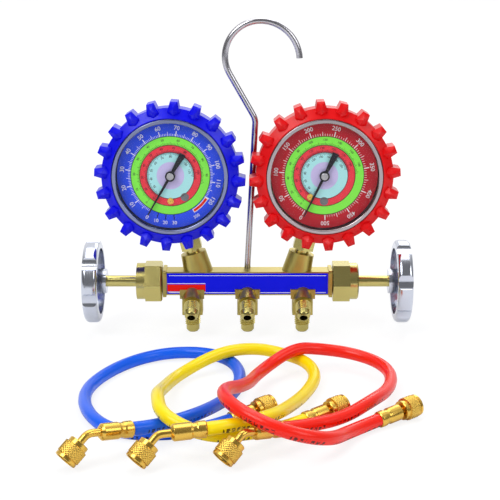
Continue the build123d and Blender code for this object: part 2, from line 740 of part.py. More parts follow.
for name, side in sides.items():
    with BuildPart() as socket:
        with BuildSketch(gauge_face(side, socket_block_back)):
            with Locations((0, -(socket_block_top + block_reach) / 2)):
                Rectangle(socket_block_width, block_reach - socket_block_top)
        extrude(amount=socket_block_front - socket_block_back)
        with BuildSketch(stem_plane(side, block_reach - 1)):
            Circle(socket_neck_diameter / 2)
        extrude(amount=socket_hex_end - block_reach + 1)
        with BuildSketch(stem_plane(side, socket_hex_start)):
            RegularPolygon(socket_hex / 2, 6, major_radius=False, rotation=30)
        extrude(amount=socket_hex_end - socket_hex_start)
        with BuildSketch(stem_plane(side, socket_hex_end)):
            Circle(socket_thread_diameter / 2)
        extrude(amount=socket_thread_length)
        with BuildSketch(stem_plane(side, socket_hex_end + socket_thread_length)):
            Circle(1.5)
        extrude(amount=-(socket_hex_end + socket_thread_length - 26.0), mode=Mode.SUBTRACT)
        with BuildSketch(gauge_section(side, -90.0)):
            with Locations((tube_radius, tube_depth)):
                RectangleRounded(tube_flat + 2 * seated, tube_width + 2 * seated, 1.2)
        revolve(axis=dial_axis(side), revolution_arc=-40, mode=Mode.SUBTRACT)
    save(socket.part, f"{name}_gauge_socket")

    with BuildPart() as tube:
        with BuildSketch(gauge_section(side, tube_tip_angle)):
            with Locations((tube_radius, tube_depth)):
                RectangleRounded(tube_flat, tube_width, 1.2)
                RectangleRounded(tube_flat - 2 * tube_wall, tube_width - 2 * tube_wall, 0.7, mode=Mode.SUBTRACT)
        revolve(axis=dial_axis(side), revolution_arc=tube_sweep)
        with BuildSketch(gauge_section(side, tube_tip_angle)):
            with Locations((tube_radius, tube_depth)):
                Rectangle(tip_block, tube_width + 0.8)
        revolve(axis=dial_axis(side), revolution_arc=-tip_block_sweep)
        with BuildSketch(gauge_face(side, 0)):
            with Locations(tube_tip):
                Circle(tip_pin_diameter / 2)
        extrude(amount=tip_pin_front)
    save(tube.part, f"{name}_bourdon_tube")

    with BuildPart() as frame:
        with BuildSketch(gauge_face(side, back_plate_front - plate_thickness)):
            with Locations((0, -plate_drop)):
                RectangleRounded(plate_width, plate_length, plate_rounding)
        extrude(amount=plate_thickness)
        with BuildSketch(gauge_face(side, front_plate_back)):
            with Locations((0, -plate_drop)):
                RectangleRounded(plate_width, plate_length, plate_rounding)
        extrude(amount=plate_thickness)
        with BuildSketch(gauge_face(side, back_plate_front)):
            with Locations(*plate_posts):
                Circle(post_diameter / 2)
        extrude(amount=front_plate_back - back_plate_front)
        with BuildSketch(gauge_face(side, front_plate_back + plate_thickness)):
            with Locations(*plate_posts[:2]):
                Circle(post_diameter / 2)
        extrude(amount=dial_back - front_plate_back - plate_thickness)
        with BuildSketch(gauge_face(side)):
            with Locations((0, 0), pivot):
                Circle(arbor_diameter / 2 + running)
        extrude(amount=dial_back, mode=Mode.SUBTRACT)
    save(frame.part, f"{name}_movement_frame")

    with BuildPart() as pinion:
        with BuildSketch(gauge_face(side, gear_plane)):
            Circle(pinion_radius - 0.5)
            for k in range(pinion_teeth):
                with BuildLine():
                    Polyline(*tooth(pinion_radius, -90 + (k + 0.5) * 360 / pinion_teeth), close=True)
                make_face()
        extrude(amount=gear_thickness)
        with BuildSketch(gauge_face(side, back_plate_front - plate_thickness + 0.1)):
            Circle(arbor_diameter / 2)
        extrude(amount=pointer_back + pointer_bore_depth - 0.1 - back_plate_front + plate_thickness - 0.1)
    save(pinion.part, f"{name}_pinion_arbor")

    with BuildPart() as sector:
        first = 90 + sector_lead
        last = first - sector_sweep
        root_reach = sector_radius - 0.5
        with BuildSketch(gauge_face(side, gear_plane)):
            with Locations(pivot):
                Circle(sector_hub_diameter / 2)
            with BuildLine():
                CenterArc(pivot, root_reach, last - 1.5, sector_sweep + 3)
                CenterArc(pivot, root_reach - 2.6, last - 1.5, sector_sweep + 3)
                Line(on_circle(pivot, root_reach, last - 1.5), on_circle(pivot, root_reach - 2.6, last - 1.5))
                Line(on_circle(pivot, root_reach, first + 1.5), on_circle(pivot, root_reach - 2.6, first + 1.5))
            make_face()
            for spoke in (last + 3, first - 3):
                with BuildLine():
                    Polyline(
                        on_circle(pivot, 2.2, spoke - 40),
                        on_circle(pivot, root_reach - 1, spoke - 2.4),
                        on_circle(pivot, root_reach - 1, spoke + 2.4),
                        on_circle(pivot, 2.2, spoke + 40),
                        close=True,
                    )
                make_face()
            for k in range(int(sector_sweep / pitch_angle)):
                middle = 90 + (int(sector_lead / pitch_angle) - k) * pitch_angle
                corners = [(x, y + sector_place) for x, y in tooth(sector_radius, middle)]
                with BuildLine():
                    Polyline(*corners, close=True)
                make_face()
            with BuildLine():
                Polyline(
                    on_circle(pivot, 2.2, tail_rest - 60),
                    on_circle(tail_pin, 1.4, tail_rest - 90),
                    on_circle(tail_pin, 1.4, tail_rest + 90),
                    on_circle(pivot, 2.2, tail_rest + 60),
                    close=True,
                )
            make_face()
            with Locations(tail_pin):
                Circle(1.4)
        extrude(amount=gear_thickness)
        with BuildSketch(gauge_face(side, back_plate_front - plate_thickness + 0.1)):
            with Locations(pivot):
                Circle(arbor_diameter / 2)
        extrude(amount=front_plate_back + plate_thickness - back_plate_front + plate_thickness - 0.2)
        with BuildSketch(gauge_face(side, gear_plane)):
            with Locations(tail_pin):
                Circle(tip_pin_diameter / 2)
        extrude(amount=link_back + link_thickness + 0.2 - gear_plane)
    save(sector.part, f"{name}_sector_gear")

    with BuildPart() as link:
        middle = on_circle(tail_pin, link_length / 2, link_angle)
        slot = on_circle(tail_pin, link_length, link_angle)
        with BuildSketch(gauge_face(side, link_back)):
            with Locations(Location((*middle, 0), (0, 0, link_angle))):
                SlotOverall(link_length + link_width + link_slot, link_width)
            with Locations(tail_pin):
                Circle(tip_pin_diameter / 2 + running, mode=Mode.SUBTRACT)
            with Locations(Location((*slot, 0), (0, 0, link_angle))):
                SlotOverall(
                    tip_pin_diameter + link_slot_play + link_slot,
                    tip_pin_diameter + link_slot_play,
                    mode=Mode.SUBTRACT,
                )
        extrude(amount=link_thickness)
    save(link.part, f"{name}_link")

    with BuildPart() as case:
        with BuildSketch(gauge_face(side, -case_back)):
            Circle(case_diameter / 2)
        extrude(amount=case_back + case_front)
        with BuildSketch(gauge_face(side, case_wall - case_back)):
            Circle(case_inside)
        extrude(amount=case_back + case_front - case_wall, mode=Mode.SUBTRACT)
        with BuildSketch(stem_plane(side, block_reach)):
            Circle(socket_neck_diameter / 2 + body_gap)
        extrude(amount=case_diameter / 2 - block_reach + 1, mode=Mode.SUBTRACT)
    save(case.part, f"{name}_case")

    with BuildPart() as lens:
        with BuildSketch(gauge_face(side, lens_back)):
            Circle(case_diameter / 2)
        extrude(amount=lens_thickness)
    save(lens.part, f"{name}_lens")

    with BuildPart() as bezel:
        with BuildSketch(gauge_section(side)):
            outer, inner = bezel_diameter / 2, case_diameter / 2 + seal_gap
            with BuildLine():
                Polyline(
                    (inner, bezel_back),
                    (outer, bezel_back),
                    (outer, bezel_front - 0.5),
                    (outer - 0.5, bezel_front),
                    (outer - bezel_lip + 0.5, bezel_front),
                    (outer - bezel_lip, bezel_front - 0.5),
                    (outer - bezel_lip, bezel_front - bezel_lip_thickness),
                    (inner, bezel_front - bezel_lip_thickness),
                    close=True,
                )
            make_face()
        revolve(axis=dial_axis(side))
    save(bezel.part, f"{name}_bezel_ring")

    screw_place = on_circle((0, 0), calibration_radius, calibration_angle[name])
    with BuildPart() as dial:
        with BuildSketch(gauge_face(side, dial_back, upright=True)):
            Circle(dial_diameter / 2)
            Circle(dial_bore / 2, mode=Mode.SUBTRACT)
            with Locations(screw_place):
                Circle(calibration_shank_diameter / 2 + running, mode=Mode.SUBTRACT)
        extrude(amount=dial_thickness)
    save(dial.part, f"{name}_dial")

    with BuildPart() as calibration_screw:
        with BuildSketch(gauge_face(side, dial_front, upright=True)):
            with Locations(screw_place):
                Circle(calibration_head_diameter / 2)
        extrude(amount=calibration_head_height)
        with BuildSketch(gauge_face(side, dial_front + calibration_head_height, upright=True)):
            with Locations(Location((*screw_place, 0), (0, 0, 25))):
                Rectangle(calibration_head_diameter, 0.7)
        extrude(amount=-0.4, mode=Mode.SUBTRACT)
        with BuildSketch(gauge_face(side, dial_front - 2, upright=True)):
            with Locations(screw_place):
                Circle(calibration_shank_diameter / 2)
        extrude(amount=2)
    save(calibration_screw.part, f"{name}_calibration_screw")

    with BuildPart() as pointer:
        aim = zero_angle[name]
        with BuildSketch(gauge_face(side, pointer_back, upright=True)):
            Circle(pointer_hub_diameter / 2)
            for reach, tip_width, turn in (
                (pointer_tip, pointer_tip_width, aim),
                (pointer_tail, pointer_tail_width, aim + 180),
            ):
                tip = on_circle((0, 0), reach, turn)
                root = on_circle((0, 0), 1.5, turn)
                with BuildLine():
                    Polyline(
                        on_circle(root, pointer_root_width / 2, turn - 90),
                        on_circle(tip, tip_width / 2, turn - 90),
                        on_circle(tip, tip_width / 2, turn + 90),
                        on_circle(root, pointer_root_width / 2, turn + 90),
                        close=True,
                    )
                make_face()
        extrude(amount=pointer_thickness)
        with BuildSketch(gauge_face(side, pointer_back, upright=True)):
            Circle(pointer_hub_diameter / 2)
        extrude(amount=pointer_hub_height)
        with BuildSketch(gauge_face(side, pointer_back, upright=True)):
            Circle(arbor_diameter / 2 + seated)
        extrude(amount=pointer_bore_depth, mode=Mode.SUBTRACT)
    save(pointer.part, f"{name}_pointer")

    # Rubber boot with its pointed grip knobs, one of them on the stem's axis
    with BuildPart() as boot:
        case_seat = case_diameter / 2 + running
        bezel_seat = bezel_diameter / 2 + body_gap
        with BuildSketch(gauge_section(side)):
            with BuildLine():
                Polyline(
                    (boot_back_opening / 2, -boot_back),
                    (boot_skirt_diameter / 2 - 2, -boot_back),
                    (boot_skirt_diameter / 2, 2 - boot_back),
                    (boot_skirt_diameter / 2, boot_ring_back),
                    (boot_diameter / 2 - 1, boot_ring_back),
                    (boot_diameter / 2, boot_ring_back + 1),
                    (boot_diameter / 2, boot_mouth - boot_rim_slope),
                    (bezel_seat + 0.6, boot_mouth),
                    (bezel_seat, boot_mouth),
                    (bezel_seat, bezel_back - body_gap),
                    (case_seat, bezel_back - body_gap),
                    (case_seat, -case_back - running),
                    (boot_back_opening / 2, -case_back - running),
                    close=True,
                )
            make_face()
        revolve(axis=dial_axis(side))
        knob_places = [
            gauge_face(side).location * Location((0, 0, 0), (0, 0, -90 + k * 360 / knob_count))
            for k in range(knob_count)
        ]
        with Locations(*knob_places):
            add(knob.part)
        with BuildSketch(stem_plane(side, boot_back_opening / 2)):
            Circle(hex_corner + boot_stem_clearance)
        extrude(amount=boot_diameter, mode=Mode.SUBTRACT)
    save(boot.part, f"{name}_boot")

# --- Hoses, their end fittings and nuts ----------------------------------------------------


def facing(point, direction):
    """A plane across `direction` at `point`."""
    return Plane(origin=point, z_dir=direction)


def along(point, direction):
    """A plane holding an axis: local y runs along `direction` from `point`."""
    across = Vector(0, 0, 1).cross(direction).normalized()
    return Plane(origin=point, x_dir=across, z_dir=across.cross(direction))


def hose_radii(points):
    """Bend radius at each inner point of a route, from its shorter neighbouring run."""
    radii = []
    for before, here, after in zip(points, points[1:], points[2:]):
        first, second = Vector(*here) - Vector(*before), Vector(*after) - Vector(*here)
        half_turn = radians(first.get_angle(second)) / 2
        radii.append(0.45 * min(first.length, second.length) / tan(half_turn))
    return radii


# Half sections along local y. A ferrule starts at the hose's end; a seat flange starts at the
# end of its nipple, and a nut at its open mouth.
def ferrule_section(length):
    """Half section of a crimped ferrule over the end of the hose."""
    outer, waist = ferrule_diameter / 2, ferrule_waist / 2
    with BuildSketch() as section:
        with BuildLine():
            Polyline(
                (0, body_gap / 10),
                (outer - 0.6, body_gap / 10),
                (outer, 0.7),
                (outer, length * 0.24),
                (waist, length * 0.3),
                (waist, length * 0.4),
                (outer, length * 0.46),
                (outer, length - 1.4),
                (outer - 1.4, length),
                (0, length),
                close=True,
            )
        make_face()
    return section.sketch


with BuildSketch() as seat_flange:
    with BuildLine():
        Polyline(
            (nipple_bore / 2, 0),
            (flange_diameter / 2 - 1.2, 0),
            (flange_diameter / 2, 1.2),
            (flange_diameter / 2, flange_thickness + 1.2),
            (nipple_bore / 2, flange_thickness + 1.2),
            close=True,
        )
    make_face()

nut_length = nut_rim_length + nut_barrel_length + nut_collar_length
straight_stub = nut_length - nut_bore_depth + nut_play + stub_seen
with BuildSketch() as nut_section:
    with BuildLine():
        Polyline(
            (nut_bore / 2, 0),
            (nut_rim_diameter / 2, 0),
            (nut_rim_diameter / 2, nut_rim_length - 0.3),
            (nut_diameter / 2, nut_rim_length),
            (nut_diameter / 2, nut_rim_length + nut_barrel_length - 0.5),
            (nut_diameter / 2 - 0.5, nut_rim_length + nut_barrel_length),
            (nut_collar_diameter / 2, nut_rim_length + nut_barrel_length),
            (nut_collar_diameter / 2, nut_length),
            (tube_end_diameter / 2 + running, nut_length),
            (tube_end_diameter / 2 + running, nut_bore_depth),
            (nut_bore / 2, nut_bore_depth),
            close=True,
        )
    make_face()

washer_spots = []
for name, route in hose_routes.items():
    points = [Vector(*point) for point in route]
    radii = hose_radii(route)
    with BuildPart() as hose:
        with BuildLine():
            path = FilletPolyline(*points, radius=radii)
        with BuildSketch(facing(points[0], points[1] - points[0])):
            Circle(hose_diameter / 2)
        sweep()
    section_volume = pi * hose_diameter**2 / 4 * path.length
    print(name, "bends", [round(radius) for radius in radii], "length", round(path.length))
    print(name, "volume ratio", round(hose.part.volume / section_volume, 4))
    save(hose.part, f"{name}_hose")

    # Straight end
    out = (points[-1] - points[-2]).normalized()
    tube_reach = straight_ferrule_length + straight_stub
    seat = points[-1] + out * (tube_reach + flange_thickness + 1.2)
    with BuildPart() as straight:
        with BuildSketch(along(points[-1], out)):
            add(ferrule_section(straight_ferrule_length))
        revolve(axis=Axis(points[-1], out))
        with BuildSketch(facing(points[-1] + out * (straight_ferrule_length - 1), out)):
            Circle(tube_end_diameter / 2)
        extrude(amount=straight_stub + 2)
        with BuildSketch(along(seat, out * -1)):
            add(seat_flange.sketch)
        revolve(axis=Axis(seat, out * -1))
        with BuildSketch(facing(seat, out * -1)):
            Circle(nipple_bore / 2)
        extrude(amount=tube_reach, mode=Mode.SUBTRACT)
    save(straight.part, f"{name}_straight_fitting")
    mouth = seat + out * (nut_bore_depth - flange_thickness - 1.2 - nut_play)
    with BuildPart() as straight_nut:
        with BuildSketch(along(mouth, out * -1)):
            add(nut_section.sketch)
        revolve(axis=Axis(mouth, out * -1))
    save(straight_nut.part, f"{name}_straight_nut")
    washer_spots.append((seat, out))

    # Angled end: ferrule, bent tube and seat flange
    back = (points[0] - points[1]).normalized()
    down = Vector(*elbow_direction).normalized() * -1
    ferrule_end = points[0] + back * angled_ferrule_length
    corner = ferrule_end + back * elbow_lead
    flange_start = corner + down * elbow_run
    seat = flange_start + down * (flange_thickness + 1.2)
    with BuildPart() as angled:
        with BuildSketch(along(points[0], back)):
            add(ferrule_section(angled_ferrule_length))
        revolve(axis=Axis(points[0], back))
        with BuildLine():
            FilletPolyline(ferrule_end - back, corner, flange_start, radius=elbow_bend)
        with BuildSketch(facing(ferrule_end - back, back)):
            Circle(tube_end_diameter / 2)
        sweep()
        with BuildSketch(along(seat, down * -1)):
            add(seat_flange.sketch)
        revolve(axis=Axis(seat, down * -1))
        with BuildSketch(facing(seat, down * -1)):
            Circle(nipple_bore / 2)
        extrude(amount=elbow_run - 4, mode=Mode.SUBTRACT)
    save(angled.part, f"{name}_angled_fitting")
    mouth = seat + down * (nut_bore_depth - flange_thickness - 1.2 - nut_play)
    with BuildPart() as angled_nut:
        with BuildSketch(along(mouth, down * -1)):
            add(nut_section.sketch)
        revolve(axis=Axis(mouth, down * -1))
    save(angled_nut.part, f"{name}_angled_nut")
    washer_spots.append((seat, down))

with BuildPart() as washers:
    for seat, out in washer_spots:
        with BuildSketch(facing(seat, out)):
            Circle(washer_diameter / 2)
            Circle(washer_bore / 2, mode=Mode.SUBTRACT)
        extrude(amount=washer_thickness)
save(washers.part, "hose_gaskets")
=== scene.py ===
"""Studio scene of a two-valve refrigerant manifold gauge set with three charging hoses.

Lengths in the classes are millimetres in the part's own frame: +X to the high-pressure side, -Y to
the front, +Z up, the floor at zero. They become metres where a mesh gets its place.
"""

import json
import logging
import math
from dataclasses import dataclass
from enum import Enum
from functools import partial

import bmesh
import bpy
from mathutils import Matrix, Vector

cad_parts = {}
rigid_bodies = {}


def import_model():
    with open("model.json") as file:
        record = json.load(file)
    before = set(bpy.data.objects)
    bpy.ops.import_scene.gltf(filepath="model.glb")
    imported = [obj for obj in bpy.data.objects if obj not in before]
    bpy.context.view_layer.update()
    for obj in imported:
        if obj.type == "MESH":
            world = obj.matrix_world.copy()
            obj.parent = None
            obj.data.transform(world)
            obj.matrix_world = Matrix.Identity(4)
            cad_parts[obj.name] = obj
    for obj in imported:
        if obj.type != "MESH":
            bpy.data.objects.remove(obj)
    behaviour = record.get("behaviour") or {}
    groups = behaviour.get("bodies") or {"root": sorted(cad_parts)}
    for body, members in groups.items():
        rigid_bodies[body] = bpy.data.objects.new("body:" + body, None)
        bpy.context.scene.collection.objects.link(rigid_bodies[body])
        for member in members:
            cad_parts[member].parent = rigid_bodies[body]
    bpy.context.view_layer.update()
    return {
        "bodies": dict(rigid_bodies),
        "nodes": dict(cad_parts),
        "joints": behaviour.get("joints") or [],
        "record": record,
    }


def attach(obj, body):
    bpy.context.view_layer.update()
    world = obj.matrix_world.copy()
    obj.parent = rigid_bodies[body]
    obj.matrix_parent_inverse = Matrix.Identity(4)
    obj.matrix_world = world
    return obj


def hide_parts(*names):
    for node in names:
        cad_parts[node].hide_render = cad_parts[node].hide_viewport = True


LOG = logging.getLogger("manifold_gauge")
MM = 0.001
MANIFOLD = "manifold"
Point = tuple[float, float, float]
Colour = tuple[float, float, float]


class Side(Enum):
    """The two pressure sides of the set, with the sign of their X place."""

    LOW = ("low", -1)
    HIGH = ("high", 1)

    @property
    def label(self) -> str:
        """The word that starts this side's node names."""
        return self.value[0]

    @property
    def sign(self) -> int:
        """-1 on the left, 1 on the right."""
        return self.value[1]


# --- Finishes ------------------------------------------------------------------------------

# Noise scales are cells per metre, the grain's depth is in metres.
WEAR_SCALE = 55.0
WORN_SHADE = 0.86
SMOOTHEST = 0.02
GRAIN_SCALE = 900.0
GRAIN_DEPTH = 0.0002


def arithmetic(
    nodes: bpy.types.Nodes, links: bpy.types.NodeLinks, operation: str, *values
) -> bpy.types.NodeSocket:
    """One arithmetic node.

    Args:
        nodes: The nodes that it joins.
        links: Their links.
        operation: The node's operation.
        *values: The sockets or numbers that it takes.

    Returns:
        The node's result.
    """
    node = nodes.new("ShaderNodeMath")
    node.operation = operation
    for socket, value in zip(node.inputs, values):
        if isinstance(value, bpy.types.NodeSocket):
            links.new(value, socket)
        else:
            socket.default_value = value
    return node.outputs["Value"]


def ramp(
    nodes: bpy.types.Nodes,
    links: bpy.types.NodeLinks,
    value: bpy.types.NodeSocket,
    spans: tuple[float, float, float, float],
) -> bpy.types.NodeSocket:
    """A smooth step from one number to another.

    Args:
        nodes: The nodes that it joins.
        links: Their links.
        value: What drives it.
        spans: Where it starts and ends, and its result there.

    Returns:
        The node's result.
    """
    node = nodes.new("ShaderNodeMapRange")
    node.interpolation_type = "SMOOTHSTEP"
    for name, number in zip(("From Min", "From Max", "To Min", "To Max"), spans):
        node.inputs[name].default_value = number
    links.new(value, node.inputs["Value"])
    return node.outputs["Result"]


@dataclass(frozen=True)
class Surface:
    """What covers a piece; each kind fills in its own material."""

    name: str

    def material(self) -> bpy.types.Material:
        """Make the material once and hand out the same one after that.

        The imported nodes bring materials named after the record's slots, so the ending keeps
        this one apart from them.

        Returns:
            The material of this surface.
        """
        name = f"{self.name}_finish"
        found = bpy.data.materials.get(name)
        if found:
            return found
        material = bpy.data.materials.new(name)
        material.use_nodes = True
        self._fill(material.node_tree.nodes, material.node_tree.links)
        return material

    def _fill(self, nodes: bpy.types.Nodes, links: bpy.types.NodeLinks) -> None:
        """Set up the material's nodes.

        Args:
            nodes: The material's nodes.
            links: The material's links.
        """
        raise NotImplementedError


@dataclass(frozen=True)
class Finish(Surface):
    """A plain or lightly textured surface, the same all over its piece."""

    colour: Colour
    metallic: float = 0.0
    roughness: float = 0.4
    coat: float = 0.0
    shine: float = 0.5
    wear: float = 0.0
    grain: float = 0.0

    def _fill(self, nodes: bpy.types.Nodes, links: bpy.types.NodeLinks) -> None:
        """Set the Principled shader and add wear and grain where there is any."""
        shader = nodes["Principled BSDF"]
        shader.inputs["Base Color"].default_value = (*self.colour, 1.0)
        shader.inputs["Metallic"].default_value = self.metallic
        shader.inputs["Roughness"].default_value = self.roughness
        shader.inputs["Coat Weight"].default_value = self.coat
        shader.inputs["Coat Roughness"].default_value = 0.08
        shader.inputs["Specular IOR Level"].default_value = self.shine
        if self.wear:
            self._add_wear(nodes, links, shader)
        if self.grain:
            place = nodes.new("ShaderNodeTexCoord")
            noise = nodes.new("ShaderNodeTexNoise")
            noise.inputs["Scale"].default_value = GRAIN_SCALE
            noise.inputs["Detail"].default_value = 3.0
            bump = nodes.new("ShaderNodeBump")
            bump.inputs["Strength"].default_value = self.grain
            bump.inputs["Distance"].default_value = GRAIN_DEPTH
            links.new(place.outputs["Object"], noise.inputs["Vector"])
            links.new(noise.outputs["Fac"], bump.inputs["Height"])
            links.new(bump.outputs["Normal"], shader.inputs["Normal"])

    def _add_wear(
        self, nodes: bpy.types.Nodes, links: bpy.types.NodeLinks, shader: bpy.types.Node
    ) -> None:
        """Let soft patches change the roughness and darken the colour a little.

        Args:
            nodes: The material's nodes.
            links: The material's links.
            shader: The Principled shader.
        """
        place = nodes.new("ShaderNodeTexCoord")
        patches = nodes.new("ShaderNodeTexNoise")
        patches.inputs["Scale"].default_value = WEAR_SCALE
        patches.inputs["Detail"].default_value = 4.0
        spread = nodes.new("ShaderNodeMapRange")
        spread.inputs["To Min"].default_value = max(SMOOTHEST, self.roughness - self.wear)
        spread.inputs["To Max"].default_value = self.roughness + self.wear
        tint = nodes.new("ShaderNodeMix")
        tint.data_type = "RGBA"
        tint.inputs["A"].default_value = (*[WORN_SHADE * part for part in self.colour], 1.0)
        tint.inputs["B"].default_value = (*self.colour, 1.0)
        links.new(place.outputs["Object"], patches.inputs["Vector"])
        links.new(patches.outputs["Fac"], spread.inputs["Value"])
        links.new(patches.outputs["Fac"], tint.inputs["Factor"])
        links.new(spread.outputs["Result"], shader.inputs["Roughness"])
        links.new(tint.outputs["Result"], shader.inputs["Base Color"])


@dataclass(frozen=True)
class LensGlass(Surface):
    """Thin clear lens: light passes straight through, with a soft mirror at grazing angles."""

    name: str = "lens_glass"

    def _fill(self, nodes: bpy.types.Nodes, links: bpy.types.NodeLinks) -> None:
        """Mix clear and mirror by angle, on the side that faces out only."""
        nodes.remove(nodes["Principled BSDF"])
        clear = nodes.new("ShaderNodeBsdfTransparent")
        mirror = nodes.new("ShaderNodeBsdfGlossy")
        mirror.inputs["Roughness"].default_value = 0.03
        fresnel = nodes.new("ShaderNodeFresnel")
        fresnel.inputs["IOR"].default_value = 1.35
        mix = nodes.new("ShaderNodeMixShader")
        side = nodes.new("ShaderNodeNewGeometry")
        outer = arithmetic(nodes, links, "SUBTRACT", 1.0, side.outputs["Backfacing"])
        share = arithmetic(nodes, links, "MULTIPLY", outer, fresnel.outputs["Fac"])
        links.new(share, mix.inputs["Fac"])
        links.new(clear.outputs["BSDF"], mix.inputs[1])
        links.new(mirror.outputs["BSDF"], mix.inputs[2])
        links.new(mix.outputs["Shader"], nodes["Material Output"].inputs["Surface"])


@dataclass(frozen=True)
class HoseRubber(Surface):
    """Glossy hose cover with a line of small printed marks along it.

    Spans and gaps are shares of one mark, of one group of marks and of the way round the hose.
    """

    colour: Colour
    marks: int = 150
    marks_per_group: float = 9.0
    mark_span: tuple[float, float] = (0.18, 0.82)
    group_gap: float = 0.28
    band_span: tuple[float, float] = (0.44, 0.56)
    specks_per_mark: float = 3.0
    specks_around: float = 26.0
    bare_share: float = 0.35
    ink_shade: float = 0.12

    def _fill(self, nodes: bpy.types.Nodes, links: bpy.types.NodeLinks) -> None:
        """Darken the cover where the marks are."""
        shader = nodes["Principled BSDF"]
        shader.inputs["Roughness"].default_value = 0.28
        shader.inputs["Coat Weight"].default_value = 0.12
        shader.inputs["Specular IOR Level"].default_value = 0.3
        shader.inputs["Coat Roughness"].default_value = 0.12
        place = nodes.new("ShaderNodeTexCoord")
        split = nodes.new("ShaderNodeSeparateXYZ")
        links.new(place.outputs["UV"], split.inputs["Vector"])
        step = partial(arithmetic, nodes, links)
        along, around = split.outputs["X"], split.outputs["Y"]
        cell = step("MULTIPLY", along, float(self.marks))
        inside = step("FRACT", cell)
        start, end = self.mark_span
        mark = step("MULTIPLY", step("GREATER_THAN", inside, start), step("LESS_THAN", inside, end))
        group = step("FRACT", step("MULTIPLY", along, self.marks / self.marks_per_group))
        groups = step("GREATER_THAN", group, self.group_gap)
        low, high = self.band_span
        band = step("MULTIPLY", step("GREATER_THAN", around, low), step("LESS_THAN", around, high))
        seed = nodes.new("ShaderNodeCombineXYZ")
        along_seed = step("FLOOR", step("MULTIPLY", cell, self.specks_per_mark))
        around_seed = step("FLOOR", step("MULTIPLY", around, self.specks_around))
        links.new(along_seed, seed.inputs["X"])
        links.new(around_seed, seed.inputs["Y"])
        speck = nodes.new("ShaderNodeTexWhiteNoise")
        speck.noise_dimensions = "2D"
        links.new(seed.outputs["Vector"], speck.inputs["Vector"])
        ink = step("MULTIPLY", step("MULTIPLY", mark, groups), band)
        ink = step("MULTIPLY", ink, step("GREATER_THAN", speck.outputs["Value"], self.bare_share))
        mix = nodes.new("ShaderNodeMix")
        mix.data_type = "RGBA"
        mix.inputs["A"].default_value = (*self.colour, 1.0)
        mix.inputs["B"].default_value = (*[self.ink_shade * part for part in self.colour], 1.0)
        links.new(ink, mix.inputs["Factor"])
        links.new(mix.outputs["Result"], shader.inputs["Base Color"])


SATIN_BRASS = Finish("satin_brass", (0.56, 0.46, 0.13), 1.0, 0.36, wear=0.07, grain=0.2)
BRIGHT_BRASS = Finish("bright_brass", (0.66, 0.57, 0.20), 1.0, 0.24, wear=0.06)
GOLD_BRASS = Finish("gold_brass", (0.84, 0.53, 0.10), 1.0, 0.26, wear=0.05)
CHROME = Finish("chrome", (0.66, 0.69, 0.78), 1.0, 0.18, wear=0.05)
HOOK_STEEL = Finish("hook_steel", (0.55, 0.54, 0.58), 1.0, 0.20, wear=0.05)
# The two bezel steels are darkened and tinted blue and red: a painted reflection of the boot round
# each bezel, not a colour of the metal.
BLUE_REFLECTION_BEZEL = Finish("bezel_steel_painted_blue_reflection", (0.24, 0.27, 0.45), 1.0, 0.16, wear=0.05)
RED_REFLECTION_BEZEL = Finish("bezel_steel_painted_red_reflection", (0.48, 0.42, 0.44), 1.0, 0.16, wear=0.05)
STEEL = Finish("steel", (0.50, 0.50, 0.53), 1.0, 0.32, wear=0.05)
BLACK_METAL = Finish("black_metal", (0.006, 0.006, 0.014), 0.0, 0.4, shine=0.2)
BLACK_RUBBER = Finish("black_rubber", (0.02, 0.02, 0.02), 0.0, 0.65)
WHITE_PLASTIC = Finish("white_plastic", (0.85, 0.85, 0.83), 0.0, 0.4)
BLUE_RUBBER = Finish("blue_boot_rubber", (0.002, 0.002, 0.72), 0.0, 0.30, coat=0.06, shine=0.22)
RED_RUBBER = Finish("red_boot_rubber", (0.74, 0.003, 0.005), 0.0, 0.30, coat=0.06, shine=0.22)
WHITE_INK = Finish("white_ink", (0.90, 0.92, 0.96), 0.0, 0.6, shine=0.1)
BLACK_INK = Finish("black_ink", (0.008, 0.010, 0.018), 0.0, 0.6, shine=0.1)
RED_INK = Finish("red_ink", (0.86, 0.012, 0.008), 0.0, 0.6, shine=0.1)
LABEL_BLUE = Finish("label_blue", (0.004, 0.008, 0.80), 0.0, 0.5, shine=0.12)
BAND_BLUE = Finish("band_blue", (0.025, 0.085, 0.93), 0.0, 0.6, shine=0.1)
BAND_RED = Finish("band_red", (0.55, 0.012, 0.026), 0.0, 0.6, shine=0.1)
RING_GREEN = Finish("ring_green", (0.24, 0.90, 0.08), 0.0, 0.6, shine=0.1)
RING_RED = Finish("ring_red", (0.84, 0.045, 0.07), 0.0, 0.6, shine=0.1)
RING_CYAN = Finish("ring_cyan", (0.42, 0.82, 0.84), 0.0, 0.6, shine=0.1)
DISC_LAVENDER = Finish("disc_lavender", (0.60, 0.54, 0.86), 0.0, 0.6, shine=0.1)
GREY_FELT = Finish("grey_felt", (0.16, 0.17, 0.19), 0.0, 0.8, grain=0.5)
LENS_GLASS = LensGlass()


# --- Mesh helpers --------------------------------------------------------------------------

SMOOTH_ANGLE = math.radians(32)
BEVEL_ANGLE = math.radians(28)
FLAT_ANGLE = math.radians(0.8)
FACES_FRONT = -0.99
THREAD_STEPS = 28


def axis_frame(origin: Vector, direction: Vector) -> Matrix:
    """A frame whose local Z runs along a direction.

    Args:
        origin: The frame's origin, in millimetres.
        direction: The direction of its local Z.

    Returns:
        The frame as a 4 by 4 matrix.
    """
    turn = Vector(direction).to_track_quat("Z", "Y").to_matrix().to_4x4()
    return Matrix.Translation(Vector(origin)) @ turn


def merge_into(target: bmesh.types.BMesh, extra: bmesh.types.BMesh) -> None:
    """Add one mesh to another and free it.

    Args:
        target: The mesh that receives the other.
        extra: The mesh that is added.
    """
    carrier = bpy.data.meshes.new("carrier")
    extra.to_mesh(carrier)
    extra.free()
    target.from_mesh(carrier)
    bpy.data.meshes.remove(carrier)


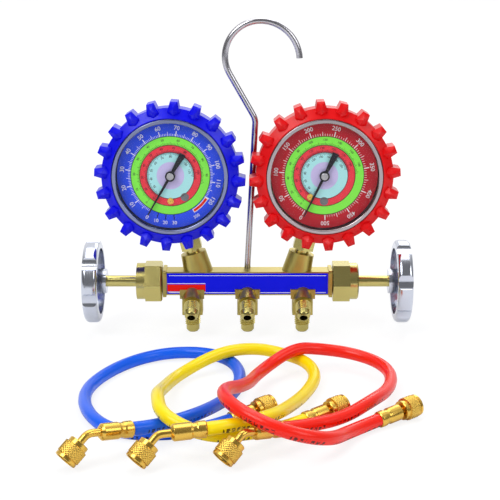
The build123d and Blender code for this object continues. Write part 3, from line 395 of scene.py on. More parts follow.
def finish_piece(
    mesh_data: bmesh.types.BMesh,
    name: str,
    body: str,
    finishes: list[Surface],
    replaces: tuple[str, ...] = (),
    frame: Matrix | None = None,
    smooth: bool = True,
) -> bpy.types.Object:
    """Turn millimetre bmesh data into a piece that rides on a body.

    Args:
        mesh_data: The piece's mesh; it is freed here.
        name: The piece's name.
        body: The body it moves with.
        finishes: Its finishes, in the order of its faces' material indices.
        replaces: The nodes that it stands for.
        frame: Where its local frame lies, in millimetres.
        smooth: Whether its curved faces are shaded smooth.

    Returns:
        The new object.
    """
    scale = Matrix.Scale(MM, 4)
    mesh_data.transform(scale @ frame if frame is not None else scale)
    for face in mesh_data.faces:
        face.smooth = smooth
    for edge in mesh_data.edges:
        edge.smooth = edge.calc_face_angle(0.0) < SMOOTH_ANGLE
    mesh = bpy.data.meshes.new(name)
    mesh_data.to_mesh(mesh)
    mesh_data.free()
    for finish in finishes:
        mesh.materials.append(finish.material())
    piece = bpy.data.objects.new(name, mesh)
    bpy.context.scene.collection.objects.link(piece)
    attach(piece, body)
    if replaces:
        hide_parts(*replaces)
    LOG.info("%s: %d faces on %s", name, len(mesh.polygons), body)
    return piece


def refined(
    parts: dict,
    node: str,
    body: str,
    finish: Surface,
    bevel: float = 0.2,
    crest: float = 0.0,
    crest_area: tuple[float, float] = (0.0, 0.0),
) -> bpy.types.Object:
    """A merged copy of a rigid node, with small bevels on its sharp edges.

    Args:
        parts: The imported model's nodes by name.
        node: The node that the copy stands for.
        body: The body that it rides on.
        finish: Its finish.
        bevel: Width of the edge bevels, in millimetres.
        crest: How far small front faces rise to a central point.
        crest_area: Smallest and largest area of such faces, in square millimetres.

    Returns:
        The new object.
    """
    copy = bmesh.new()
    copy.from_mesh(parts[node].data)
    copy.transform(Matrix.Scale(1 / MM, 4))
    bmesh.ops.remove_doubles(copy, verts=copy.verts, dist=0.001)
    bmesh.ops.dissolve_limit(
        copy, angle_limit=FLAT_ANGLE, use_dissolve_boundaries=False,
        verts=copy.verts, edges=copy.edges, delimit=set(),
    )
    if crest:
        low, high = crest_area
        tops = [
            face for face in copy.faces
            if face.normal.y < FACES_FRONT and low < face.calc_area() < high
        ]
        bmesh.ops.poke(
            copy, faces=tops, offset=crest, center_mode="MEAN", use_relative_offset=False
        )
    sharp = [
        edge for edge in copy.edges if edge.is_manifold and edge.calc_face_angle() > BEVEL_ANGLE
    ]
    if bevel:
        bmesh.ops.bevel(
            copy, geom=sharp, offset=bevel, offset_type="OFFSET", affect="EDGES", segments=2,
            profile=0.5, clamp_overlap=True, material=-1, loop_slide=True,
        )
    piece = finish_piece(copy, f"{node}_dressed", body, [finish], (node,))
    piece.modifiers.new("even_shading", "WEIGHTED_NORMAL").keep_sharp = True
    return piece


def lathe(outline: list[tuple[float, float]], steps: int = 64) -> bmesh.types.BMesh:
    """Spin an outline of (radius, height) points about local Z.

    Args:
        outline: The points, in order; a closed outline repeats its first point.
        steps: Segments of a full turn.

    Returns:
        The mesh.
    """
    turned = bmesh.new()
    verts = [turned.verts.new((radius, 0.0, height)) for radius, height in outline]
    edges = [turned.edges.new(pair) for pair in zip(verts, verts[1:])]
    bmesh.ops.spin(
        turned, geom=verts + edges, cent=(0, 0, 0), axis=(0, 0, 1), angle=math.tau, steps=steps,
        use_merge=True,
    )
    bmesh.ops.remove_doubles(turned, verts=turned.verts, dist=0.0005)
    bmesh.ops.recalc_face_normals(turned, faces=turned.faces)
    return turned


def add_thread(
    target: bmesh.types.BMesh,
    radius: float,
    depth: float,
    pitch: float,
    start: float,
    end: float,
) -> None:
    """Wind a triangular ridge round local Z.

    Args:
        target: The mesh that receives the ridge.
        radius: Crest radius.
        depth: Height of the ridge.
        pitch: Distance between turns.
        start: Height where the thread starts.
        end: Height where it ends.
    """
    ridge = bmesh.new()
    root, half = radius - depth, pitch * 0.46
    turns = (end - start - pitch) / pitch
    steps = max(8, int(turns * THREAD_STEPS))
    foot, top = root - 0.15, radius - 0.05  # the foot is sunk, the top has a narrow flat
    section = [(foot, -half), (top, -0.08), (top, 0.08), (foot, half)]
    verts = [ridge.verts.new((r, 0.0, start + pitch / 2 + z)) for r, z in section]
    face = ridge.faces.new(verts)
    bmesh.ops.spin(
        ridge, geom=[face, *face.edges, *face.verts], cent=(0, 0, 0), axis=(0, 0, 1),
        dvec=(0, 0, turns * pitch / steps), angle=turns * math.tau, steps=steps,
        use_duplicate=False,
    )
    bmesh.ops.recalc_face_normals(ridge, faces=ridge.faces)
    merge_into(target, ridge)


class Ink(Enum):
    """Inks of a printed sheet, by material index."""

    WHITE = 0
    BLACK = 1
    RED = 2
    FELT = 3


RING_STEP = 3  # degrees
FONT_SIZE = 1.36  # of the figures' height
FONT_WEIGHT = 0.012  # of the figures' height
INK_FINISHES = [WHITE_INK, BLACK_INK, RED_INK, GREY_FELT]  # in the order of Ink


class PrintSheet:
    """Flat ink marks on a plane: local X to the right, Y up, Z out of the face."""

    def __init__(self, height: float) -> None:
        """Start an empty sheet.

        Args:
            height: Height of the ink above the local plane.
        """
        self.marks = bmesh.new()
        self.height = height

    def _ink(self, before: int, ink: Ink) -> None:
        """Give the faces made since a count their ink.

        Args:
            before: How many faces there were.
            ink: The ink.
        """
        self.marks.faces.ensure_lookup_table()
        for face in self.marks.faces[before:]:
            face.material_index = ink.value
            if face.normal.z < 0:
                face.normal_flip()

    def bar(
        self, centre: tuple[float, float], size: tuple[float, float], turn: float, ink: Ink
    ) -> None:
        """A rectangle.

        Args:
            centre: Its middle.
            size: Its length and width.
            turn: The direction of its length, in degrees.
            ink: Its ink.
        """
        before = len(self.marks.faces)
        matrix = (
            Matrix.Translation((*centre, self.height))
            @ Matrix.Rotation(math.radians(turn), 4, "Z")
            @ Matrix.Diagonal((size[0], size[1], 1.0, 1.0))
        )
        bmesh.ops.create_grid(self.marks, x_segments=1, y_segments=1, size=0.5, matrix=matrix)
        self._ink(before, ink)

    def tick(self, inner: float, outer: float, angle: float, width: float, ink: Ink) -> None:
        """A radial line.

        Args:
            inner: Its inner radius.
            outer: Its outer radius.
            angle: Its direction in degrees.
            width: Its width.
            ink: Its ink.
        """
        middle, turn = (inner + outer) / 2, math.radians(angle)
        centre = (middle * math.cos(turn), middle * math.sin(turn))
        self.bar(centre, (outer - inner, width), angle, ink)

    def ring(
        self,
        inner: float,
        outer: float,
        ink: Ink,
        start: float = 0.0,
        sweep: float = 360.0,
        centre: tuple[float, float] = (0.0, 0.0),
    ) -> None:
        """A ring or part of one.

        Args:
            inner: Its inner radius.
            outer: Its outer radius.
            ink: Its ink.
            start: Where it starts, in degrees.
            sweep: How far it goes.
            centre: Its centre.
        """
        before = len(self.marks.faces)
        turn = math.radians(start)
        verts = [
            self.marks.verts.new(
                (centre[0] + r * math.cos(turn), centre[1] + r * math.sin(turn), self.height)
            )
            for r in (inner, outer)
        ]
        edge = self.marks.edges.new(verts)
        bmesh.ops.spin(
            self.marks, geom=[*verts, edge], cent=(*centre, 0), axis=(0, 0, 1),
            angle=math.radians(sweep), steps=max(6, int(abs(sweep) / RING_STEP)),
            use_merge=sweep == 360.0,
        )
        self._ink(before, ink)

    def figures(
        self,
        text: str,
        size: float,
        radius: float,
        angle: float,
        ink: Ink,
        turn: float | None = None,
    ) -> None:
        """Figures centred at a polar place, with their tops outward.

        Args:
            text: The figures.
            size: Their height.
            radius: Distance of their middle from the centre.
            angle: Direction of their middle, in degrees.
            ink: Their ink.
            turn: Their own turn in degrees; outward tops if it is left out.
        """
        curve = bpy.data.curves.new("figures", "FONT")
        curve.body, curve.size = text, size * FONT_SIZE
        curve.align_x, curve.align_y = "CENTER", "CENTER"
        curve.resolution_u = 3
        curve.offset = size * FONT_WEIGHT
        holder = bpy.data.objects.new("figures", curve)
        mesh = bpy.data.meshes.new_from_object(holder)
        around = math.radians(angle)
        own = math.radians(angle - 90 if turn is None else turn)
        mesh.transform(
            Matrix.Translation((radius * math.cos(around), radius * math.sin(around), self.height))
            @ Matrix.Rotation(own, 4, "Z")
        )
        before = len(self.marks.faces)
        self.marks.from_mesh(mesh)
        bpy.data.objects.remove(holder)
        bpy.data.curves.remove(curve)
        bpy.data.meshes.remove(mesh)
        self._ink(before, ink)


# --- Sub-assemblies ------------------------------------------------------------------------


@dataclass
class Studio:
    """White sweep, soft lamps and the camera."""

    camera_place: Point = (1.8, -824.75, 265.43)
    camera_pitch: float = 14.0
    camera_lens: float = 86.18
    film_width: float = 36.0
    aim: Point = (0.0, 0.0, 90.0)
    room_grey: float = 0.2
    flag_grey: float = 0.4

    def build(self) -> None:
        """Make the camera, the floor, the world and the lamps."""
        scene = bpy.context.scene
        scene.view_settings.view_transform = "Standard"
        data = bpy.data.cameras.new("camera")
        data.lens, data.sensor_width = self.camera_lens, self.film_width
        data.clip_start, data.clip_end = 0.01, 50.0
        camera = bpy.data.objects.new("camera", data)
        camera.location = Vector(self.camera_place) * MM
        camera.rotation_euler = (math.radians(90 - self.camera_pitch), 0, 0)
        scene.collection.objects.link(camera)
        scene.camera = camera
        self._world()
        self._floor()
        for name, place, size, power in (
            ("key", (-0.75, -0.85, 1.15), 0.8, 11.0),
            ("fill", (0.95, -0.75, 0.75), 0.6, 3.5),
            ("top", (0.0, 0.15, 1.25), 0.9, 5.0),
            ("rim", (0.3, 0.95, 0.8), 0.6, 3.0),
        ):
            lamp = bpy.data.lights.new(name, "AREA")
            lamp.energy, lamp.size = power, size
            holder = bpy.data.objects.new(name, lamp)
            holder.location = place
            toward = Vector(self.aim) * MM - Vector(place)
            holder.rotation_euler = toward.to_track_quat("-Z", "Y").to_euler()
            scene.collection.objects.link(holder)

    def _world(self) -> None:
        """White backdrop, a darker room behind the camera for mirrors, and an even light."""
        world = bpy.data.worlds.new("studio")
        bpy.context.scene.world = world
        world.use_nodes = True
        nodes, links = world.node_tree.nodes, world.node_tree.links
        light = nodes["Background"]
        light.inputs["Color"].default_value = (0.92, 0.95, 1.0, 1)
        light.inputs["Strength"].default_value = 0.42
        seen = nodes.new("ShaderNodeBackground")
        path = nodes.new("ShaderNodeLightPath")
        place = nodes.new("ShaderNodeTexCoord")
        split = nodes.new("ShaderNodeSeparateXYZ")
        links.new(place.outputs["Generated"], split.inputs["Vector"])
        width = arithmetic(nodes, links, "ABSOLUTE", split.outputs["X"])
        room = ramp(nodes, links, split.outputs["Y"], (-0.55, 0.35, self.room_grey, 1.0))
        flags = ramp(nodes, links, width, (0.55, 0.9, 1.0, self.flag_grey))
        mirrored = arithmetic(nodes, links, "MULTIPLY", room, flags)
        white = arithmetic(nodes, links, "MAXIMUM", mirrored, path.outputs["Is Camera Ray"])
        links.new(white, seen.inputs["Color"])
        mix = nodes.new("ShaderNodeMixShader")
        either = path.outputs["Is Camera Ray"]
        for kind in ("Is Glossy Ray", "Is Transmission Ray"):
            either = arithmetic(nodes, links, "MAXIMUM", either, path.outputs[kind])
        links.new(either, mix.inputs["Fac"])
        links.new(light.outputs["Background"], mix.inputs[1])
        links.new(seen.outputs["Background"], mix.inputs[2])
        links.new(mix.outputs["Shader"], nodes["World Output"].inputs["Surface"])

    def _floor(self) -> None:
        """A white floor that keeps the object's soft shadow."""
        sweep = bmesh.new()
        bmesh.ops.create_circle(sweep, cap_ends=True, radius=6.0, segments=64)
        mesh = bpy.data.meshes.new("floor")
        sweep.to_mesh(mesh)
        sweep.free()
        material = bpy.data.materials.new("floor_white")
        material.use_nodes = True
        nodes, links = material.node_tree.nodes, material.node_tree.links
        shader = nodes["Principled BSDF"]
        shader.inputs["Base Color"].default_value = (0.93, 0.93, 0.93, 1)
        shader.inputs["Roughness"].default_value = 0.9
        shader.inputs["Specular IOR Level"].default_value = 0.1
        glow = nodes.new("ShaderNodeEmission")
        glow.inputs["Strength"].default_value = 1.06
        path = nodes.new("ShaderNodeLightPath")
        place = nodes.new("ShaderNodeTexCoord")
        reach = nodes.new("ShaderNodeVectorMath")
        reach.operation = "LENGTH"
        links.new(place.outputs["Object"], reach.inputs[0])
        fade = ramp(nodes, links, reach.outputs["Value"], (0.22, 0.6, 0.78, 1.0))
        share = arithmetic(nodes, links, "MULTIPLY", path.outputs["Is Camera Ray"], fade)
        mix = nodes.new("ShaderNodeMixShader")
        links.new(share, mix.inputs["Fac"])
        links.new(shader.outputs["BSDF"], mix.inputs[1])
        links.new(glow.outputs["Emission"], mix.inputs[2])
        links.new(mix.outputs["Shader"], nodes["Material Output"].inputs["Surface"])
        mesh.materials.append(material)
        floor = bpy.data.objects.new("floor", mesh)
        bpy.context.scene.collection.objects.link(floor)


@dataclass
class FlareEnd:
    """A quarter-inch flare union's free end; local Z runs from its mouth back to its shoulder."""

    length: float = 13.7
    thread: float = 5.55
    thread_depth: float = 0.62
    neck: float = 4.7
    mouth: float = 3.45
    cone: float = 1.5
    neck_length: float = 4.6
    bore: float = 2.8
    shank: float = 4.9
    shank_length: float = 7.6
    pitch: float = 1.27

    def mesh(self) -> bmesh.types.BMesh:
        """The union with its thread.

        Returns:
            The mesh in its local frame.
        """
        core = self.thread - self.thread_depth
        end = self.length + self.shank_length
        union = lathe([
            (self.bore, 0), (self.mouth - 0.2, 0), (self.mouth, 0.15), (self.neck - 0.1, self.cone),
            (self.neck, self.cone + 0.25), (self.neck, self.neck_length),
            (core, self.neck_length + 0.5), (core, self.length), (self.shank, self.length),
            (self.shank, end), (self.bore, end), (self.bore, 0),
        ], 48)
        start = self.neck_length + 0.35
        add_thread(union, self.thread, self.thread_depth, self.pitch, start, self.length)
        return union


@dataclass
class Manifold:
    """Brass bar with its unions, its printed label and the hanging hook."""

    axis_height: float = 37.0
    bar_front: float = 8.5
    port_spacing: float = 39.3
    port_angle: float = 32.0
    port_rise: float = -4.9
    boss_reach: float = 15.0
    label_length: float = 114.0
    label_height: float = 15.0
    label_thickness: float = 0.3
    label_rise: float = 0.4

    def build(self, parts: dict) -> None:
        """Dress the bar, the unions, the label and the hook.

        Args:
            parts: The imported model's nodes by name.
        """
        refined(parts, "manifold_body", MANIFOLD, SATIN_BRASS, bevel=0.22)
        refined(parts, "hanging_hook", "hook", HOOK_STEEL, bevel=0.0)
        self._unions()
        self._label(parts)
        paint(parts, "valve_seals", BLACK_RUBBER)

    def _unions(self) -> None:
        """Two rows of three threaded unions."""
        union = FlareEnd()
        fall = math.radians(self.port_angle)
        out = Vector((0, -math.cos(fall), -math.sin(fall)))
        rows = (("lower_flare_fittings", Vector((0, 0, 1))), ("front_flare_fittings", -out))
        for node, back in rows:
            row = bmesh.new()
            for x in (-self.port_spacing, 0.0, self.port_spacing):
                mouth = Vector((x, 0, 0))
                if node.startswith("front"):
                    mouth = Vector((x, 0, self.axis_height + self.port_rise))
                    mouth += out * (self.boss_reach + union.length)
                one = union.mesh()
                one.transform(axis_frame(mouth, back))
                merge_into(row, one)
            finish_piece(row, f"{node}_threaded", MANIFOLD, [BRIGHT_BRASS],
                         (node,))

    def _label(self, parts: dict) -> None:
        """Paint the label plate and print its lines.

        Args:
            parts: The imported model's nodes by name.
        """
        paint(parts, "front_label", LABEL_BLUE)
        sheet = PrintSheet(0.04)
        half, rise = self.label_length / 2, self.label_height / 2
        for y in (rise - 1.6, 1 - rise):
            sheet.bar((0, y), (self.label_length - 3, 0.35), 0, Ink.WHITE)
        block = 27.0
        middle = -half + 0.3 + block / 2
        sheet.bar((middle, -3.1), (block, 5.0), 0, Ink.RED)
        for y in (0.1, -6.0):
            sheet.bar((middle, y), (block, 0.4), 0, Ink.WHITE)
        face = -self.bar_front - self.label_thickness
        front = Matrix.Translation((0, face, self.axis_height + self.label_rise))
        front = front @ Matrix.Rotation(math.radians(90), 4, "X")
        finish_piece(sheet.marks, "label_print", MANIFOLD,
                     INK_FINISHES, frame=front)


def paint(parts: dict, node: str, finish: Surface) -> None:
    """Give a rigid node its finish and leave its mesh as it is.

    Args:
        parts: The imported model's nodes by name.
        node: The node.
        finish: Its finish.
    """
    materials = parts[node].data.materials
    materials.clear()
    materials.append(finish.material())


@dataclass
class Valve:
    """One hand valve: bonnet, stem, piston, handwheel and its screw."""

    side: Side

    def build(self, parts: dict) -> None:
        """Dress the valve's nodes.

        Args:
            parts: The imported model's nodes by name.
        """
        name = self.side.label
        refined(parts, f"{name}_bonnet", MANIFOLD, BRIGHT_BRASS, bevel=0.35)
        refined(parts, f"{name}_handwheel", f"{name}_wheel", CHROME, bevel=0.3)
        refined(parts, f"{name}_stem", f"{name}_wheel", BRIGHT_BRASS, bevel=0.1)
        refined(parts, f"{name}_wheel_screw", f"{name}_wheel", BRIGHT_BRASS, bevel=0.2)
        paint(parts, f"{name}_piston", BRIGHT_BRASS)
        paint(parts, f"{name}_seat_seal", WHITE_PLASTIC)


@dataclass
class Scale:
    """A dial's figures: where zero is, the step of one labelled division and the colours."""

    zero: float
    step: float
    labels: tuple[str, ...]
    band: Finish
    minor: int = 10
    medium: int = 5


LOW_SCALE = Scale(240.2, -22.65, tuple(str(10 * k) for k in range(13)), BAND_BLUE)
HIGH_SCALE = Scale(241.6, -33.0, tuple(str(50 * k) for k in range(11)), BAND_RED)
# The outer scale, by radius: the ticks' foot, their tops with their widths, and the figures.
TICK_FOOT = 27.6
MAJOR_TICK, MEDIUM_TICK, MINOR_TICK = (31.2, 0.62), (30.4, 0.34), (29.2, 0.26)
FIGURE_RADIUS = 33.3
# The inner scales, by radius: the ticks' inner and outer ends, and the figures.
INNER_SCALES = ((21.45, 22.6, 24.9), (16.45, 17.5, 19.3), (14.9, 16.0, 13.3))
INNER_TICKS = 97
TALL_TICK = 0.7


@dataclass
class Gauge:
    """One dial gauge in its rubber boot."""

    side: Side
    scale: Scale
    boot: Finish
    spread: float = 53.0
    height: float = 115.7
    dial_radius: float = 36.8
    dial_bore: float = 2.0
    dial_front: float = 13.0
    dial_thickness: float = 0.8
    pointer_front: float = 15.0
    hub_height: float = 1.7
    ring_radii: tuple[float, ...] = (27.3, 21.2, 16.2, 9.5)
    felt_radius: float = 17.9
    felt_angle: float = -57.0

    def build(self, parts: dict) -> None:
        """Dress the gauge and print its dial.

        Args:
            parts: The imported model's nodes by name.
        """
        name = self.side.label
        refined(parts, f"{name}_boot", MANIFOLD, self.boot, bevel=0.45,
                crest=1.1, crest_area=(6.0, 30.0))
        # the tint of this bezel's steel is a painted reflection of its boot
        bezel = BLUE_REFLECTION_BEZEL if self.side is Side.LOW else RED_REFLECTION_BEZEL
        refined(parts, f"{name}_bezel_ring", MANIFOLD, bezel, bevel=0.2)
        refined(parts, f"{name}_gauge_socket", MANIFOLD, BRIGHT_BRASS, bevel=0.25)
        refined(parts, f"{name}_pointer", f"{name}_needle", BLACK_METAL, bevel=0.12)
        refined(parts, f"{name}_calibration_screw", f"{name}_adjuster",
                GOLD_BRASS, bevel=0.15)
        for node, finish in (
            ("case", BLACK_METAL), ("lens", LENS_GLASS), ("pinion_arbor", STEEL),
            ("sector_gear", BRIGHT_BRASS), ("movement_frame", BRIGHT_BRASS),
            ("bourdon_tube", SATIN_BRASS), ("link", STEEL),
        ):
            paint(parts, f"{name}_{node}", finish)
        self._dial()
        self._figures()
        self._cap()

    def _frame(self, front: float) -> Matrix:
        """The upright dial plane.

        Args:
            front: Distance ahead of the gauge plane.

        Returns:
            Local X to the right, Y up, Z to the front.
        """
        place = Matrix.Translation((self.side.sign * self.spread, -front, self.height))
        return place @ Matrix.Rotation(math.radians(90), 4, "X")

    def _dial(self) -> None:
        """The dial plate with its coloured rings, lowest index outermost."""
        name = self.side.label
        radii = [self.dial_radius, *self.ring_radii, self.dial_bore]
        back = -self.dial_thickness
        outline = [(self.dial_bore, back), (self.dial_radius, back)]
        outline += [(radius, 0.0) for radius in radii] + [(self.dial_bore, back)]
        plate = lathe(outline, 128)
        for face in plate.faces:
            middle = face.calc_center_median()
            reach = math.hypot(middle.x, middle.y)
            ring = sum(reach < radius for radius in self.ring_radii)
            face.material_index = ring if middle.z > -0.01 else 0
        finishes = [self.scale.band, RING_GREEN, RING_RED, RING_CYAN, DISC_LAVENDER]
        finish_piece(plate, f"{name}_dial_plate", MANIFOLD, finishes,
                     (f"{name}_dial",), self._frame(self.dial_front))

    def _figures(self) -> None:
        """Ticks, figures and ring outlines."""
        name, scale = self.side.label, self.scale
        sheet = PrintSheet(0.03)
        for radius in self.ring_radii[:3]:
            sheet.ring(radius - 0.22, radius + 0.22, Ink.BLACK)
        count = len(scale.labels)
        for k in range((count - 1) * scale.minor + 1):
            angle = scale.zero + scale.step * k / scale.minor
            top, width = MINOR_TICK
            if k % scale.minor == 0:
                top, width = MAJOR_TICK
            elif k % scale.medium == 0:
                top, width = MEDIUM_TICK
            sheet.tick(TICK_FOOT, top, angle, width, Ink.WHITE)
        for k, text in enumerate(scale.labels):
            sheet.figures(text, 3.0, FIGURE_RADIUS, scale.zero + scale.step * k, Ink.WHITE)
        if self.side is Side.LOW:
            self._vacuum(sheet)
        start, step = (228.0, -12.6) if self.side is Side.LOW else (231.0, -11.8)
        for ring, (inner, outer, figures) in enumerate(INNER_SCALES):
            for k in range(INNER_TICKS):
                angle = start + 6 * ring + step * k * 0.2
                extra = TALL_TICK if k % 5 == 0 else 0.0
                spread = (inner, outer + extra)
                if ring == 2:  # its figures are inside its ticks
                    spread = (inner - extra, outer)
                sheet.tick(*spread, angle, 0.24, Ink.BLACK)
                if k % 10 == 0:
                    value = k * (1 if self.side is Side.LOW else 2) + 10 * ring
                    sheet.figures(str(value), 1.55, figures, angle, Ink.BLACK)
        sheet.ring(0.0, 2.9, Ink.FELT, centre=self._polar(self.felt_radius, self.felt_angle))
        finish_piece(sheet.marks, f"{name}_dial_print", MANIFOLD,
                     INK_FINISHES, frame=self._frame(self.dial_front))

    def _vacuum(self, sheet: PrintSheet) -> None:
        """The vacuum scale below zero and the red retard block.

        Args:
            sheet: The dial's print.
        """
        for k, angle in enumerate((251.7, 262.9, 274.2)):
            sheet.tick(TICK_FOOT, 31.0, angle, 0.62, Ink.BLACK)
            sheet.figures(str(10 * (k + 1)), 2.5, FIGURE_RADIUS, angle, Ink.WHITE, turn=0)
        sheet.ring(28.0, 30.6, Ink.WHITE, -58.0, 26.0)
        sheet.height += 0.02  # the red lies over the white
        sheet.ring(28.4, 30.2, Ink.RED, -57.0, 24.0)
        sheet.height -= 0.02
        sheet.figures("350", 2.2, 33.5, -58.0, Ink.WHITE, turn=31)

    def _polar(self, radius: float, angle: float) -> tuple[float, float]:
        """A point of the dial.

        Args:
            radius: Distance from the centre.
            angle: Direction in degrees.

        Returns:
            Its local X and Y.
        """
        turn = math.radians(angle)
        return radius * math.cos(turn), radius * math.sin(turn)

    def _cap(self) -> None:
        """Plain bright cap on the pointer's hub."""
        name = self.side.label
        cap = lathe([(0, 0.0), (2.3, 0.0), (2.45, 0.15), (2.45, 0.35), (2.25, 0.5), (0, 0.55)], 48)
        cap.transform(Matrix.Translation((0, 0, -0.02)))  # sunk a little into the hub
        finish_piece(cap, f"{name}_pointer_cap", f"{name}_needle", [STEEL],
                     frame=self._frame(self.pointer_front + self.hub_height))


@dataclass
class Hose:
    """One charging hose with its end fittings and knurled nuts."""

    colour: str
    finish: HoseRubber
    route: tuple[Point, ...]
    diameter: float = 7.8
    length: float = 0.45
    nut_length: float = 12.2
    angled_ferrule: float = 19.5
    straight_ferrule: float = 17.0
    elbow_lead: float = 7.0
    elbow_run: float = 10.0
    elbow_direction: Point = (0.62, 0.47, 0.63)
    flange: float = 2.6
    nut_play: float = 0.2
    bore_depth: float = 8.6
    stub_seen: float = 1.0

    def build(self, parts: dict) -> None:
        """Lay the hose and dress its ends.

        Args:
            parts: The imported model's nodes by name.
        """
        points = [Vector(point) for point in self.route]
        out = (points[-1] - points[-2]).normalized()
        stub = self.nut_length - self.bore_depth + self.nut_play + self.stub_seen
        seat = points[-1] + out * (self.straight_ferrule + stub + self.flange)
        mouth = seat + out * (self.bore_depth - self.flange - self.nut_play)
        straight_nut = self._nut("straight", mouth, -out)
        back = (points[0] - points[1]).normalized()
        down = -Vector(self.elbow_direction).normalized()
        corner = points[0] + back * (self.angled_ferrule + self.elbow_lead)
        seat = corner + down * (self.elbow_run + self.flange)
        mouth = seat + down * (self.bore_depth - self.flange - self.nut_play)
        angled_nut = self._nut("angled", mouth, -down)
        fittings = [
            refined(parts, f"{self.colour}_{end}_fitting", MANIFOLD, GOLD_BRASS,
                    bevel=0.15)
            for end in ("straight", "angled")
        ]
        self._cover(points)

    def _cover(self, points: list[Vector]) -> None:
        """The hose itself, one smooth spline.

        Args:
            points: The route's control points, in millimetres.
        """
        name = f"{self.colour}_hose_cover"
        curve = bpy.data.curves.new(name, "CURVE")
        curve.dimensions = "3D"
        curve.bevel_depth = self.diameter / 2 * MM
        curve.bevel_resolution = 6
        curve.resolution_u = 10
        curve.use_fill_caps = True
        spline = curve.splines.new("NURBS")
        spline.points.add(len(points) - 1)
        for control, point in zip(spline.points, points):
            control.co = (*(point * MM), 1.0)
        spline.order_u = 3
        spline.use_endpoint_u = True
        curve.materials.append(self.finish.material())
        cover = bpy.data.objects.new(name, curve)
        bpy.context.scene.collection.objects.link(cover)
        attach(cover, MANIFOLD)
        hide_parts(f"{self.colour}_hose")
        LOG.info("%s: %.0f mm long", name, self.length / MM)

    def _nut(self, end: str, mouth: Vector, back: Vector) -> bpy.types.Object:
        """A knurled nut; its local Z runs from its mouth back.

        Args:
            end: Which end of the hose it is on.
            mouth: The middle of its open face.
            back: The direction from its mouth to its rear.

        Returns:
            The nut.
        """
        rim, barrel = 2.0, 7.6
        teeth, rows, columns, bite = 30, 26, 180, 0.42
        outer, bore = 6.75, 5.6
        low, high = rim + 0.25, rim + barrel - 0.45
        outline = [
            (bore, 0.35), (bore + 0.3, 0.0), (6.15, 0.0), (6.4, 0.25), (6.4, rim - 0.3),
            (5.9, rim - 0.1), (5.9, rim + 0.1),
        ]
        outline += [(outer, low + (high - low) * k / rows) for k in range(rows + 1)]
        outline += [
            (5.7, rim + barrel - 0.1), (5.7, self.nut_length - 0.3), (5.4, self.nut_length),
            (2.25, self.nut_length), (2.25, self.bore_depth), (bore, self.bore_depth),
            (bore, 0.35),
        ]
        nut = lathe(outline, columns)
        # two sets of slanting grooves cross on the barrel and leave diamonds between them
        for vert in nut.verts:
            if abs(math.hypot(vert.co.x, vert.co.y) - outer) < 0.01:
                turn = math.atan2(vert.co.y, vert.co.x) / math.tau * teeth
                climb = vert.co.z / (math.tau * outer / teeth)
                groove = max(abs(2 * ((turn + way * climb) % 1.0) - 1) for way in (-1, 1))
                share = 1 - bite * max(0.0, groove - 0.35) / 0.65 / outer
                vert.co.x *= share
                vert.co.y *= share
        add_inner_ridges(nut, bore, 1.27, 0.8, self.bore_depth - 0.6)
        node = f"{self.colour}_{end}_nut"
        return finish_piece(nut, f"{node}_knurled", f"{node}_body", [GOLD_BRASS],
                            (node,), axis_frame(mouth, back))


def add_inner_ridges(
    target: bmesh.types.BMesh, bore: float, pitch: float, start: float, end: float
) -> None:
    """Thin rings inside a nut's bore that stand for its thread.

    Args:
        target: The nut's mesh.
        bore: Its bore radius.
        pitch: Distance between the rings.
        start: Height of the first ring.
        end: Height of the last ring.
    """
    height = start
    while height < end:
        foot, top = bore + 0.02, bore - 0.25
        middle, next_foot = height + pitch / 2, height + pitch
        merge_into(target, lathe(
            [(foot, height), (top, middle), (foot, next_foot), (foot, height)], 36
        ))
        height += pitch


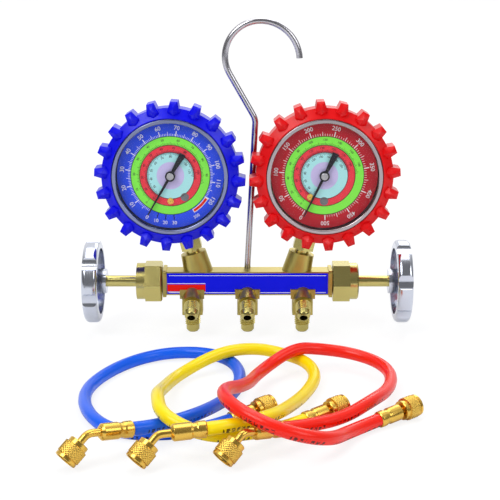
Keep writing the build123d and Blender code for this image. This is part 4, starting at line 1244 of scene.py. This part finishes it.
HOSE_ROUTES: dict[str, tuple[Point, ...]] = {
    "blue": (
        (-62.3, -217.8, 14), (-49.1, -209.2, 12), (-28.6, -191.9, 11.7), (-14.1, -156.4, 5.9),
        (-6.3, -130.6, 3.7), (-3.7, -104.4, 4.4), (-9.8, -81.4, 5.3), (-26.3, -67.1, 6),
        (-50.9, -63.9, 5.2), (-71.8, -73.8, 4), (-87.2, -94.8, 3.9), (-98.5, -125.1, 4),
        (-97.8, -155.1, 4.5), (-86.8, -185, 5), (-71.2, -199, 4.1), (-46, -201.5, 4.1),
        (-22, -192.4, 3.8), (-9.5, -183, 5),
    ),
    "yellow": (
        (-21.4, -227.3, 18), (-6.9, -223.6, 18.3), (13.2, -206.9, 16.8), (25.2, -172.2, 9.2),
        (35.8, -143.2, 6.1), (43.8, -113.2, 5.8), (39.2, -93.4, 8.6), (23.4, -80, 10),
        (4.6, -77.4, 13), (-18.4, -86.8, 13), (-44.9, -105.3, 3.7), (-51.8, -153.5, 11.6),
        (-51.2, -186, 22), (-46.6, -213.4, 19.7), (-21.1, -223.4, 11.4), (3.5, -214, 10.3),
        (20.4, -192.4, 3.8), (32.9, -183, 5),
    ),
    "red": (
        (18.7, -215, 12.9), (32.2, -204.1, 9.8), (54.8, -189.9, 9.1), (71.6, -171.3, 11.7),
        (85.9, -143.3, 8.4), (90.8, -115.9, 8.8), (83.5, -97.1, 10.4), (67.3, -85, 12),
        (47.4, -83.2, 14.2), (29.8, -91.6, 17.7), (6.9, -111.6, 7.8), (-0.3, -157.3, 16.3),
        (-15.3, -193.8, 27.9), (-7.4, -222.7, 28.4), (17.5, -237.1, 20.8), (44, -227.8, 11.4),
        (58.3, -195.8, 3.4), (75.3, -183, 5),
    ),
}
HOSE_LENGTHS = {"blue": 0.433, "yellow": 0.462, "red": 0.465}
HOSE_FINISHES = {
    "blue": HoseRubber("blue_hose_cover", (0.001, 0.115, 0.84)),
    "yellow": HoseRubber("yellow_hose_cover", (1.0, 0.78, 0.002)),
    "red": HoseRubber("red_hose_cover", (0.92, 0.014, 0.003)),
}


def main() -> None:
    """Load the frame, build the studio and every sub-assembly, and note the sizes."""
    logging.basicConfig(level=logging.INFO, format="%(message)s")
    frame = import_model()
    parts = frame["nodes"]
    Studio().build()
    for colour, route in HOSE_ROUTES.items():
        Hose(colour, HOSE_FINISHES[colour], route, length=HOSE_LENGTHS[colour]).build(parts)
    paint(parts, "hose_gaskets", BLACK_RUBBER)
    Manifold().build(parts)
    for side in Side:
        Valve(side).build(parts)
    Gauge(Side.LOW, LOW_SCALE, BLUE_RUBBER, felt_angle=-57.0).build(parts)
    Gauge(Side.HIGH, HIGH_SCALE, RED_RUBBER, felt_angle=-90.0).build(parts)


if __name__ == "__main__":
    main()
